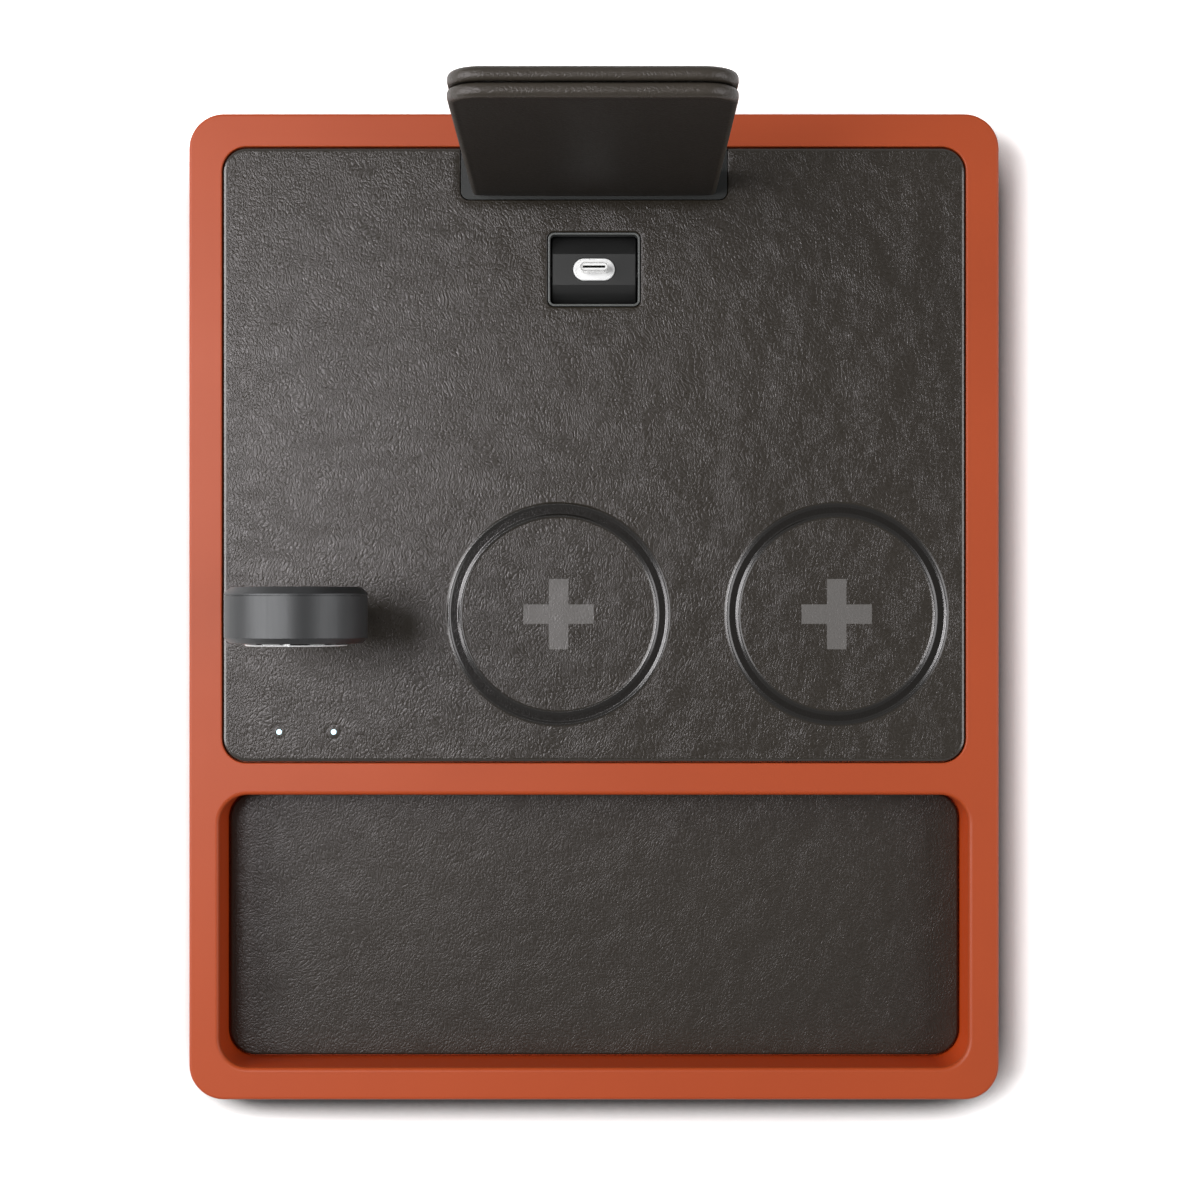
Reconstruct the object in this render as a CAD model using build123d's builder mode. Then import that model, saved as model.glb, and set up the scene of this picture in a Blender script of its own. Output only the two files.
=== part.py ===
"""Desk organizer that charges a phone, a watch and two small devices.

A moulded frame holds a leather-covered deck behind and a leather-lined tray in front.
The phone leans on a padded backrest over a rocking plug, the watch hangs on a raised head.
Millimetres, +Z up, the tray at -Y, origin under the middle of the feet.
"""

import os
from math import acos, cos, radians, sin, sqrt

from build123d import *

os.makedirs("parts", exist_ok=True)

# Frame: one moulding, with the deck opening behind and the tray pocket in front
frame_width = 242.0
frame_depth = 294.6
frame_height = 26.0
frame_corner = 10.3
frame_edge = 0.8
foot_lift = 2.0
side_rim = 9.8
rear_rim = 9.8
divider_width = 9.55
deck_opening_depth = 184.2
deck_opening_corner = 7.4
deck_opening_edge = 0.4
ledge_width = 4.0
tray_side_rim = 9.0
tray_front_rim = 9.5
tray_corner = 8.5
tray_edge = 1.2
tray_floor_thickness = 2.0
overrun = 1.0

# Base cover, its screws and the feet
base_thickness = 2.5
base_inset = 2.0
base_gap = 0.3
base_screw_inset = 26.0
base_screw_from_rim = 6.3
foot_radius = 7.0
foot_seat = 0.8
foot_edge = 0.6
foot_inset = 21.0
foot_end_inset = 24.0

# Deck: leather over a board, flush with the frame
deck_gap = 0.5
board_thickness = 3.0
leather_thickness = 1.2
leather_wrap = 1.0
leather_edge = 0.9
cutout_gap = 0.15
tab_reach = 9.0
tab_width = 12.0
tab_thickness = 3.0
tab_hole_from_wall = 4.5
tab_from_coil = 29.2
tab_from_rear = 40.5

# Ring grooves pressed into the leather over the two charging coils
left_coil_x = -10.6
right_coil_inset = 38.7
coil_from_front = 44.5
groove_radius = 31.1
groove_width = 3.4
groove_depth = 0.85
groove_lip = 0.35

# Charging coils in their dishes under the deck board
coil_outer_radius = 22.0
coil_inner_radius = 10.0
coil_thickness = 1.3
ferrite_radius = 25.0
ferrite_thickness = 1.0
coil_recess_radius = 27.0
coil_recess_depth = 1.6
dish_wall = 1.5
dish_floor = 1.5
dish_ear_radius = 4.0
dish_ear_thickness = 2.0
dish_ears = 3

# Tray lining
tray_gap = 0.5
tray_board_thickness = 1.5
tray_leather_thickness = 1.0
tray_leather_edge = 0.7

# Rocking plug: a drum on two pins in a cradle under the deck
rocker_from_rear = 36.7
drum_radius = 12.0
drum_length = 25.2
drum_land_width = 9.2
drum_drop = 0.3
drum_base_depth = 6.4
drum_end_edge = 0.35
rocker_swing = 15.0
rocker_stop_gap = 0.25
bezel_gap = 0.5
bezel_opening_depth = 20.7
bezel_rim = 0.65
bezel_corner = 1.3
bezel_proud = 0.15
bezel_flange = 3.0
bezel_flange_thickness = 1.5
bezel_side_flange = 8.0
bezel_relief = 0.4
cradle_gap = 0.7
ear_thickness = 2.2
ear_width = 21.0
cradle_floor_thickness = 1.8
cradle_flange_thickness = 1.5
cradle_flange_reach = 6.2
cradle_screw_spacing = 13.0
cradle_slot_length = 11.0
cradle_slot_width = 7.0
pin_radius = 2.0
pin_running_gap = 0.05
pin_seat = 4.0
pin_head_radius = 3.2
pin_head_thickness = 1.2
pin_end_gap = 0.3

# Plug in the drum
plug_body_width = 12.4
plug_body_height = 6.6
plug_body_proud = 0.35
plug_body_edge = 0.4
plug_body_gap = 0.2
plug_collar = 1.0
plug_collar_height = 2.0
plug_tail_radius = 1.8
plug_tail_length = 3.6
plug_tail_gap = 0.3
plug_tip_width = 8.25
plug_tip_height = 2.6
plug_tip_length = 6.5
plug_tip_wall = 0.3
plug_tip_root = 6.0
plug_mouth_width = 6.7
plug_mouth_height = 0.7
plug_mouth_depth = 5.0
clamp_width = 22.0
clamp_depth = 11.0
clamp_thickness = 1.6
clamp_corner = 2.0
clamp_gap = 0.1
clamp_screw_spacing = 17.6
clamp_screw_bite = 2.2

# Backrest: two padded halves on a steel spine, leaning back
stand_width = 73.0
stand_height = 133.0
stand_from_rear = 14.8
stand_lean = 1.3
stand_corner = 9.0
pad_thickness = 3.95
pad_front_edge = 1.7
pad_seam_edge = 1.3
pad_seam = 0.5
spine_thickness = 1.5
spine_side_inset = 6.5
spine_inset = 8.0
spine_corner = 6.0
spine_gap = 0.1
plate_side_margin = 3.25
plate_lead = 1.0
plate_corner = 2.5
plate_flange = 4.0
plate_flange_thickness = 3.0
plate_screw_inset = 6.0
plate_screw_back = 2.4
plate_rear_gap = 0.3

# Watch charger: a round head on a stem
watch_inset = 28.2
watch_from_front = 36.7
watch_lift = 50.0
head_radius = 19.95
head_length = 15.7
head_cap_length = 2.4
head_wall = 1.6
head_front_wall = 1.8
head_bevel = 1.5
head_cap_bevel = 1.9
head_bevel_round = 0.4
head_seam = 0.12
cap_ring_length = 1.0
puck_radius = 14.2
puck_proud = 0.8
puck_edge = 0.5
puck_dish = 0.5
puck_flange = 1.6
puck_flange_thickness = 1.4
puck_gap = 0.1
watch_coil_outer_radius = 11.5
watch_coil_inner_radius = 5.0
watch_coil_thickness = 1.2
watch_ferrite_thickness = 0.8
stem_foot_width = 22.0
stem_foot_depth = 11.0
stem_top_width = 15.0
stem_top_depth = 8.5
stem_corner = 3.5
stem_seat_gap = 0.1
stem_stud_radius = 4.0
stem_bore_radius = 1.8
stem_stud_gap = 0.1
stem_tenon_length = 3.2
nut_radius = 7.0
nut_thickness = 3.0

# Control board, its parts and the power inlet
board_depth = 62.0
board_side_gap = 5.2
board_cradle_gap = 10.5
circuit_thickness = 1.6
standoff_height = 5.0
standoff_radius = 3.0
board_rear_gap = 0.3
board_screw_inset = 4.0
inlet_from_board = 42.0
inlet_width = 8.94
inlet_height = 3.26
inlet_length = 10.5
inlet_wall = 0.3
inlet_gap = 0.15
inlet_tongue_width = 6.69
inlet_tongue_height = 0.7
inlet_tongue_length = 4.5
inlet_back_thickness = 2.0
plug_recess_width = 13.4
plug_recess_height = 7.6
plug_recess_depth = 6.5
chip_size = 7.0
chip_height = 1.0
chip_pitch = 14.0
inductor_size = 10.0
inductor_height = 4.5
inductor_pitch = 15.0
inductor_corner = 1.5
capacitor_radius = 3.2
capacitor_height = 7.0
capacitor_pitch = 9.0
header_width = 8.0
header_depth = 5.0
header_height = 5.5
header_pitch = 13.0
header_wall = 0.8
row_front_inset = 9.0
row_rear_inset = 11.0
last_row = 3

# Indicator lights at the front left of the deck
light_inset = 17.1
light_pitch = 16.3
light_from_front = 9.3
light_pipe_radius = 0.8
light_pipe_proud = 0.05
light_flange_radius = 1.8
light_flange_height = 1.0
light_gap = 0.05
light_chip_width = 1.6
light_chip_depth = 1.0
light_chip_height = 0.7
light_holder_height = 2.2
light_board_width = 30.0
light_board_depth = 8.0
light_board_thickness = 1.2
light_screw_spacing = 24.0

# Screws: large ones close the base, small ones hold what hangs under the deck
screw_radius = 1.5
screw_head_radius = 2.7
screw_head_height = 1.5
screw_length = 12.0
screw_slack = 0.1
screw_socket_radius = 1.1
screw_socket_depth = 0.8
small_screw_radius = 1.0
small_head_radius = 1.9
small_head_height = 1.3
small_bite = 2.2

# Levels and centres that follow from the sizes
frame_top = foot_lift + frame_height
base_top = foot_lift + base_thickness
ledge_z = frame_top - leather_thickness - board_thickness
tray_floor_z = base_top + tray_floor_thickness
deck_rear_y = frame_depth / 2 - rear_rim
deck_y = deck_rear_y - deck_opening_depth / 2
deck_front_y = deck_rear_y - deck_opening_depth
deck_opening_width = frame_width - 2 * side_rim
deck_width = deck_opening_width - 2 * deck_gap
deck_depth = deck_opening_depth - 2 * deck_gap
deck_corner = deck_opening_corner - deck_gap
tray_rear_y = deck_front_y - divider_width
tray_front_y = tray_front_rim - frame_depth / 2
tray_y = (tray_rear_y + tray_front_y) / 2
tray_width = frame_width - 2 * tray_side_rim
tray_opening_depth = tray_rear_y - tray_front_y
deck_side_x = deck_opening_width / 2
right_coil_x = deck_side_x - right_coil_inset
coil_y = deck_front_y + coil_from_front
coil_places = [(left_coil_x, coil_y), (right_coil_x, coil_y)]
light_x = light_inset - deck_side_x
light_y = deck_front_y + light_from_front
light_places = [(light_x, light_y), (light_x + light_pitch, light_y)]
watch_x = watch_inset - deck_side_x
watch_front_y = deck_front_y + watch_from_front
rocker_y = deck_rear_y - rocker_from_rear
cradle_ear_x = drum_length / 2 + cradle_gap
cradle_half = cradle_ear_x + ear_thickness
stand_front_y = deck_rear_y - stand_from_rear
spine_width = stand_width - 2 * spine_side_inset
plate_width = stand_width + 2 * plate_side_margin
plate_front_y = stand_front_y - plate_lead
board_left_x = ledge_width + board_side_gap - deck_side_x
board_right_x = -cradle_half - board_cradle_gap
board_width = board_right_x - board_left_x
inlet_x = board_left_x + inlet_from_board


def rounded_block(width, depth, corner, bottom, height, place=(0, 0)):
    """A block with round upright corners, centred on place."""
    with BuildPart() as block:
        with BuildSketch(Plane.XY.offset(bottom)):
            with Locations(place):
                RectangleRounded(width, depth, corner)
        extrude(amount=height)
    return block.part


def upward_screws(places, seat_z, radius, head_radius, head_height, length):
    """Screws driven up from below: each head seats under seat_z."""
    with BuildPart() as screws:
        with BuildSketch(Plane.XY.offset(seat_z - head_height)):
            with Locations(*places):
                Circle(head_radius)
        extrude(amount=head_height)
        with BuildSketch(Plane.XY.offset(seat_z)):
            with Locations(*places):
                Circle(radius)
        extrude(amount=length)
        with BuildSketch(Plane.XY.offset(seat_z - head_height)):
            with Locations(*places):
                RegularPolygon(screw_socket_radius, 6)
        extrude(amount=screw_socket_depth, mode=Mode.SUBTRACT)
    return screws


# Screw places shared by the frame, the base cover and the screws
base_screw_x = frame_width / 2 - base_screw_inset
base_screw_rows = (
    base_screw_from_rim - frame_depth / 2,
    deck_front_y - divider_width / 2 + ledge_width / 2,
    frame_depth / 2 - base_screw_from_rim,
)
base_screw_places = [(side * base_screw_x, row) for row in base_screw_rows for side in (-1, 1)]
tab_x = deck_side_x - ledge_width - tab_hole_from_wall
tab_block_x = tab_x + tab_hole_from_wall - tab_reach / 2
tab_rows = (coil_y + tab_from_coil, deck_rear_y - tab_from_rear)
tab_places = [(side * tab_x, row) for row in tab_rows for side in (-1, 1)]
tab_block_places = [(side * tab_block_x, row) for row in tab_rows for side in (-1, 1)]

# Frame: outer block, then the deck opening with its ledge, the tray pocket and the base seat
pilot_radius = screw_radius + screw_slack / 2
board_top = base_top + standoff_height + circuit_thickness
inlet_z = board_top + inlet_height / 2
inlet_mouth_y = frame_depth / 2 - plug_recess_depth
rear_face = Plane.XZ.offset(-frame_depth / 2)
with BuildPart() as tray_frame:
    with BuildSketch(Plane.XY.offset(foot_lift)):
        RectangleRounded(frame_width, frame_depth, frame_corner)
    extrude(amount=frame_height)
    fillet(tray_frame.faces().sort_by(Axis.Z)[-1].edges(), radius=frame_edge)
    fillet(tray_frame.faces().sort_by(Axis.Z)[0].edges(), radius=frame_edge)
    with BuildSketch(Plane.XY.offset(frame_top)):
        with Locations((0, deck_y)):
            RectangleRounded(deck_opening_width, deck_opening_depth, deck_opening_corner)
    extrude(amount=ledge_z - frame_top, mode=Mode.SUBTRACT)
    with BuildSketch(Plane.XY.offset(frame_top)):
        with Locations((0, tray_y)):
            RectangleRounded(tray_width, tray_opening_depth, tray_corner)
    extrude(amount=tray_floor_z - frame_top, mode=Mode.SUBTRACT)
    mouths = tray_frame.faces().sort_by(Axis.Z)[-1].inner_wires().sort_by(Axis.Y)
    fillet(mouths[0].edges(), radius=tray_edge)
    mouths = tray_frame.faces().sort_by(Axis.Z)[-1].inner_wires().sort_by(Axis.Y)
    fillet(mouths[-1].edges(), radius=deck_opening_edge)
    with BuildSketch(Plane.XY.offset(foot_lift)):
        RectangleRounded(
            frame_width - 2 * base_inset,
            frame_depth - 2 * base_inset,
            frame_corner - base_inset,
        )
    extrude(amount=base_thickness, mode=Mode.SUBTRACT)
    with BuildSketch(Plane.XY.offset(base_top)):
        with Locations((0, deck_y)):
            RectangleRounded(
                deck_opening_width - 2 * ledge_width,
                deck_opening_depth - 2 * ledge_width,
                deck_opening_corner,
            )
    extrude(amount=ledge_z - base_top, mode=Mode.SUBTRACT)
    with BuildSketch(Plane.XY.offset(ledge_z - tab_thickness)):
        with Locations(*tab_block_places):
            Rectangle(tab_reach, tab_width)
    extrude(amount=tab_thickness)
    with BuildSketch(Plane.XY.offset(ledge_z - tab_thickness)):
        with Locations(*tab_places):
            Circle(small_screw_radius + screw_slack)
    extrude(amount=tab_thickness, mode=Mode.SUBTRACT)
    with BuildSketch(Plane.XY.offset(base_top)):
        with Locations(*base_screw_places):
            Circle(pilot_radius)
    extrude(amount=screw_length, mode=Mode.SUBTRACT)
    with BuildSketch(rear_face):
        with Locations((inlet_x, inlet_z)):
            SlotOverall(plug_recess_width, plug_recess_height)
    extrude(amount=plug_recess_depth, mode=Mode.SUBTRACT)
    with BuildSketch(rear_face):
        with Locations((inlet_x, inlet_z)):
            SlotOverall(inlet_width + 2 * inlet_gap, inlet_height + 2 * inlet_gap)
    extrude(amount=rear_rim + ledge_width + overrun, mode=Mode.SUBTRACT)
tray_frame.part.label = "tray_frame"
export_step(tray_frame.part, "parts/tray_frame.step")

# Base cover: let into the underside, with seats for the screw heads and feet, and board standoffs
foot_places = {
    "foot_front_left": (foot_inset - frame_width / 2, foot_end_inset - frame_depth / 2),
    "foot_front_right": (frame_width / 2 - foot_inset, foot_end_inset - frame_depth / 2),
    "foot_rear_left": (foot_inset - frame_width / 2, frame_depth / 2 - foot_end_inset),
    "foot_rear_right": (frame_width / 2 - foot_inset, frame_depth / 2 - foot_end_inset),
}
board_x = (board_left_x + board_right_x) / 2
board_rear_y = deck_rear_y - ledge_width - board_rear_gap
board_y = board_rear_y - board_depth / 2
board_screw_x = board_width / 2 - board_screw_inset
board_screw_y = board_depth / 2 - board_screw_inset
board_screw_places = [
    (board_x + side * board_screw_x, board_y + end * board_screw_y)
    for side in (-1, 1)
    for end in (-1, 1)
]
cover_inset = base_inset + base_gap
with BuildPart() as base_cover:
    with BuildSketch(Plane.XY.offset(foot_lift)):
        RectangleRounded(
            frame_width - 2 * cover_inset,
            frame_depth - 2 * cover_inset,
            frame_corner - cover_inset,
        )
    extrude(amount=base_thickness)
    with BuildSketch(Plane.XY.offset(base_top)):
        with Locations(*board_screw_places):
            Circle(standoff_radius)
    extrude(amount=standoff_height)
    with BuildSketch(Plane.XY.offset(base_top + standoff_height)):
        with Locations(*board_screw_places):
            Circle(small_screw_radius + screw_slack / 2)
    extrude(amount=-standoff_height, mode=Mode.SUBTRACT)
    with BuildSketch(Plane.XY.offset(foot_lift)):
        with Locations(*base_screw_places):
            Circle(screw_radius + screw_slack)
    extrude(amount=base_thickness, mode=Mode.SUBTRACT)
    with BuildSketch(Plane.XY.offset(foot_lift)):
        with Locations(*base_screw_places):
            Circle(screw_head_radius + screw_slack)
    extrude(amount=screw_head_height, mode=Mode.SUBTRACT)
    with BuildSketch(Plane.XY.offset(foot_lift)):
        with Locations(*foot_places.values()):
            Circle(foot_radius)
    extrude(amount=foot_seat, mode=Mode.SUBTRACT)
base_cover.part.label = "base_cover"
export_step(base_cover.part, "parts/base_cover.step")

base_screws = upward_screws(
    base_screw_places,
    foot_lift + screw_head_height,
    screw_radius,
    screw_head_radius,
    screw_head_height,
    screw_length,
)
base_screws.part.label = "base_screws"
export_step(base_screws.part, "parts/base_screws.step")

for foot_name, foot_place in foot_places.items():
    with BuildPart() as foot:
        with BuildSketch():
            with Locations(foot_place):
                Circle(foot_radius)
        extrude(amount=foot_lift + foot_seat)
        fillet(foot.faces().sort_by(Axis.Z)[0].edges(), radius=foot_edge)
    foot.part.label = foot_name
    export_step(foot.part, f"parts/{foot_name}.step")

# Backrest foot plate and the cut-out it fills, open to the rear edge of the deck
plate_rear_y = deck_rear_y - deck_gap
plate_depth = plate_rear_y - plate_front_y
plate_y = (plate_rear_y + plate_front_y) / 2
plate_cut = rounded_block(
    plate_width + 2 * cutout_gap,
    plate_depth + 2 * plate_corner + 2 * cutout_gap,
    plate_corner,
    ledge_z,
    frame_top - ledge_z,
    (0, plate_y + plate_corner),
)
bezel_opening_width = drum_length + 2 * bezel_gap
bezel_width = bezel_opening_width + 2 * bezel_rim
bezel_depth = bezel_opening_depth + 2 * bezel_rim
bezel_cut = rounded_block(
    bezel_width + 2 * cutout_gap,
    bezel_depth + 2 * cutout_gap,
    bezel_corner + bezel_rim,
    ledge_z,
    frame_top - ledge_z,
    (0, rocker_y),
)
watch_y = watch_front_y + head_length / 2
with BuildPart() as small_cuts:
    with BuildSketch(Plane.XY.offset(ledge_z)):
        with Locations((watch_x, watch_y)):
            Circle(stem_stud_radius + stem_stud_gap)
        with Locations(*light_places):
            Circle(light_pipe_radius + light_gap)
    extrude(amount=frame_top - ledge_z)

# Places of the small screws that reach up into the deck board
cradle_screw_x = cradle_ear_x + ear_thickness + cradle_flange_reach / 2
cradle_screw_places = [
    (side * cradle_screw_x, rocker_y + end * cradle_screw_spacing / 2)
    for side in (-1, 1)
    for end in (-1, 1)
]
dish_radius = ferrite_radius + puck_gap + dish_wall
dish_ear_angles = [90 + ear * 360 / dish_ears for ear in range(dish_ears)]
dish_screw_places = [
    (
        coil_x + (dish_radius + dish_ear_radius / 2) * cos(radians(angle)),
        ring_y + (dish_radius + dish_ear_radius / 2) * sin(radians(angle)),
    )
    for coil_x, ring_y in coil_places
    for angle in dish_ear_angles
]
plate_screw_spacing = spine_width / 2 - plate_screw_inset
plate_front_screws = [(step * plate_screw_spacing, plate_front_y - plate_flange / 2) for step in (-1, 0, 1)]
plate_back_screws = [(step * plate_screw_spacing, plate_front_y + plate_screw_back) for step in (-1, 0, 1)]
light_middle_x = light_x + light_pitch / 2
light_screw_places = [(light_middle_x + side * light_screw_spacing / 2, light_y) for side in (-1, 1)]
board_pilots = tab_places + cradle_screw_places + dish_screw_places
board_pilots += plate_front_screws + light_screw_places

# Deck board: carries everything that hangs under the deck
deck_board_width = deck_width - 2 * leather_wrap
deck_board_depth = deck_depth - 2 * leather_wrap
with BuildPart() as deck_board:
    with BuildSketch(Plane.XY.offset(ledge_z)):
        with Locations((0, deck_y)):
            RectangleRounded(deck_board_width, deck_board_depth, deck_corner - leather_wrap)
    extrude(amount=board_thickness)
    add(plate_cut, mode=Mode.SUBTRACT)
    add(bezel_cut, mode=Mode.SUBTRACT)
    add(small_cuts.part, mode=Mode.SUBTRACT)
    with BuildSketch(Plane.XY.offset(ledge_z)):
        with Locations(*coil_places):
            Circle(coil_recess_radius)
    extrude(amount=coil_recess_depth, mode=Mode.SUBTRACT)
    with BuildSketch(Plane.XY.offset(ledge_z)):
        with Locations(*board_pilots):
            Circle(small_screw_radius + screw_slack / 2)
    extrude(amount=small_bite + screw_slack, mode=Mode.SUBTRACT)
deck_board.part.label = "deck_board"
export_step(deck_board.part, "parts/deck_board.step")

# Deck leather: a skin over the board, turned down at the edge, with a pressed ring over each coil
with BuildPart() as deck_leather:
    with BuildSketch(Plane.XY.offset(ledge_z)):
        with Locations((0, deck_y)):
            RectangleRounded(deck_width, deck_depth, deck_corner)
    extrude(amount=frame_top - ledge_z)
    fillet(deck_leather.faces().sort_by(Axis.Z)[-1].edges(), radius=leather_edge)
    with BuildSketch(Plane.XY.offset(ledge_z)):
        with Locations((0, deck_y)):
            RectangleRounded(deck_board_width, deck_board_depth, deck_corner - leather_wrap)
    extrude(amount=board_thickness, mode=Mode.SUBTRACT)
    add(plate_cut, mode=Mode.SUBTRACT)
    add(bezel_cut, mode=Mode.SUBTRACT)
    add(small_cuts.part, mode=Mode.SUBTRACT)
    for coil_x, ring_y in coil_places:
        with BuildSketch(Plane(origin=(coil_x, ring_y, frame_top), x_dir=(1, 0, 0), z_dir=(0, -1, 0))):
            with BuildLine():
                ThreePointArc(
                    (groove_radius - groove_width / 2, 0),
                    (groove_radius, -groove_depth),
                    (groove_radius + groove_width / 2, 0),
                )
                Line((groove_radius + groove_width / 2, 0), (groove_radius - groove_width / 2, 0))
            make_face()
        revolve(axis=Axis((coil_x, ring_y, 0), (0, 0, 1)), mode=Mode.SUBTRACT)
    lips = deck_leather.edges().filter_by(GeomType.CIRCLE)
    lips = lips.filter_by_position(Axis.Z, frame_top - groove_lip / 2, frame_top)
    lips = lips.filter_by(lambda lip: lip.radius > groove_radius - groove_width)
    fillet(lips, radius=groove_lip)
deck_leather.part.label = "deck_leather"
export_step(deck_leather.part, "parts/deck_leather.step")

# Tray lining: a leather-covered board dropped into the tray pocket
lining_width = tray_width - 2 * tray_gap
lining_depth = tray_opening_depth - 2 * tray_gap
with BuildPart() as tray_board:
    with BuildSketch(Plane.XY.offset(tray_floor_z)):
        with Locations((0, tray_y)):
            RectangleRounded(lining_width, lining_depth, tray_corner - tray_gap)
    extrude(amount=tray_board_thickness)
tray_board.part.label = "tray_board"
export_step(tray_board.part, "parts/tray_board.step")

with BuildPart() as tray_leather:
    with BuildSketch(Plane.XY.offset(tray_floor_z + tray_board_thickness)):
        with Locations((0, tray_y)):
            RectangleRounded(lining_width, lining_depth, tray_corner - tray_gap)
    extrude(amount=tray_leather_thickness)
    fillet(tray_leather.faces().sort_by(Axis.Z)[-1].edges(), radius=tray_leather_edge)
tray_leather.part.label = "tray_leather"
export_step(tray_leather.part, "parts/tray_leather.step")

deck_screws = upward_screws(
    tab_places,
    ledge_z - tab_thickness,
    small_screw_radius,
    small_head_radius,
    small_head_height,
    tab_thickness + small_bite,
)
deck_screws.part.label = "deck_screws"
export_step(deck_screws.part, "parts/deck_screws.step")

# Charging coils: a flat copper ring on a ferrite disc, held up by a dish with screw ears
coil_ceiling_z = ledge_z + coil_recess_depth
ferrite_top_z = coil_ceiling_z - coil_thickness
dish_inside_z = ferrite_top_z - ferrite_thickness
for side_name, (coil_x, ring_y) in zip(("left", "right"), coil_places):
    with BuildPart() as coil:
        with BuildSketch(Plane.XY.offset(ferrite_top_z)):
            with Locations((coil_x, ring_y)):
                Circle(coil_outer_radius)
                Circle(coil_inner_radius, mode=Mode.SUBTRACT)
        extrude(amount=coil_thickness)
    coil.part.label = f"coil_{side_name}"
    export_step(coil.part, f"parts/coil_{side_name}.step")

    with BuildPart() as ferrite:
        with BuildSketch(Plane.XY.offset(dish_inside_z)):
            with Locations((coil_x, ring_y)):
                Circle(ferrite_radius)
        extrude(amount=ferrite_thickness)
    ferrite.part.label = f"ferrite_{side_name}"
    export_step(ferrite.part, f"parts/ferrite_{side_name}.step")

    ear_span = dish_radius + dish_ear_radius
    ear_places = [place for place in dish_screw_places if abs(place[0] - coil_x) < ear_span]
    with BuildPart() as dish:
        with BuildSketch(Plane.XY.offset(dish_inside_z - dish_floor)):
            with Locations((coil_x, ring_y)):
                Circle(dish_radius)
        extrude(amount=coil_ceiling_z - dish_inside_z + dish_floor)
        with BuildSketch(Plane.XY.offset(ledge_z - dish_ear_thickness)):
            with Locations(*ear_places):
                Circle(dish_ear_radius)
        extrude(amount=dish_ear_thickness)
        with BuildSketch(Plane.XY.offset(dish_inside_z)):
            with Locations((coil_x, ring_y)):
                Circle(ferrite_radius + puck_gap)
        extrude(amount=coil_ceiling_z - dish_inside_z, mode=Mode.SUBTRACT)
        with BuildSketch(Plane.XY.offset(ledge_z - dish_ear_thickness)):
            with Locations(*ear_places):
                Circle(small_screw_radius + screw_slack)
        extrude(amount=dish_ear_thickness, mode=Mode.SUBTRACT)
    dish.part.label = f"coil_dish_{side_name}"
    export_step(dish.part, f"parts/coil_dish_{side_name}.step")

dish_screws = upward_screws(
    dish_screw_places,
    ledge_z - dish_ear_thickness,
    small_screw_radius,
    small_head_radius,
    small_head_height,
    dish_ear_thickness + small_bite,
)
dish_screws.part.label = "dish_screws"
export_step(dish_screws.part, "parts/dish_screws.step")

# Rocker levels: the flat land of the drum lies just under the deck's face
land_height = sqrt(drum_radius**2 - (drum_land_width / 2) ** 2)
drum_axis_z = frame_top - drum_drop - land_height
drum_top_z = frame_top - drum_drop
drum_bottom_z = drum_axis_z - drum_base_depth
swung_corner_angle = acos(drum_base_depth / drum_radius) - radians(rocker_swing)
cradle_floor_z = drum_axis_z - drum_radius * cos(swung_corner_angle) - rocker_stop_gap
flange_top_z = ledge_z
flange_bottom_z = flange_top_z - bezel_flange_thickness


def along_x(start_x):
    """A sketch plane across the rocker's axis, at start_x, with its origin on the axis."""
    return Plane(origin=(start_x, rocker_y, drum_axis_z), x_dir=(0, 1, 0), z_dir=(1, 0, 0))


# Bezel: a thin rim round the drum, with a flange under the deck board
with BuildPart() as rocker_bezel:
    with BuildSketch(Plane.XY.offset(flange_bottom_z)):
        with Locations((0, rocker_y)):
            RectangleRounded(
                bezel_width + 2 * bezel_side_flange,
                bezel_depth + 2 * bezel_flange,
                bezel_corner + bezel_flange,
            )
    extrude(amount=bezel_flange_thickness)
    with BuildSketch(Plane.XY.offset(flange_top_z)):
        with Locations((0, rocker_y)):
            RectangleRounded(bezel_width, bezel_depth, bezel_corner + bezel_rim)
    extrude(amount=frame_top + bezel_proud - flange_top_z)
    with BuildSketch(Plane.XY.offset(flange_bottom_z)):
        with Locations((0, rocker_y)):
            RectangleRounded(bezel_opening_width, bezel_opening_depth, bezel_corner)
    extrude(amount=frame_top + bezel_proud - flange_bottom_z, mode=Mode.SUBTRACT)
    fillet(rocker_bezel.faces().sort_by(Axis.Z)[-1].edges(), radius=bezel_rim / 3)
    with BuildSketch(along_x(-bezel_opening_width / 2)):
        Circle(drum_radius + bezel_relief)
    extrude(amount=bezel_opening_width, mode=Mode.SUBTRACT)
    with BuildSketch(Plane.XY.offset(flange_bottom_z)):
        with Locations(*cradle_screw_places):
            Circle(small_screw_radius + screw_slack)
    extrude(amount=bezel_flange_thickness, mode=Mode.SUBTRACT)
rocker_bezel.part.label = "rocker_bezel"
export_step(rocker_bezel.part, "parts/rocker_bezel.step")

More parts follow.
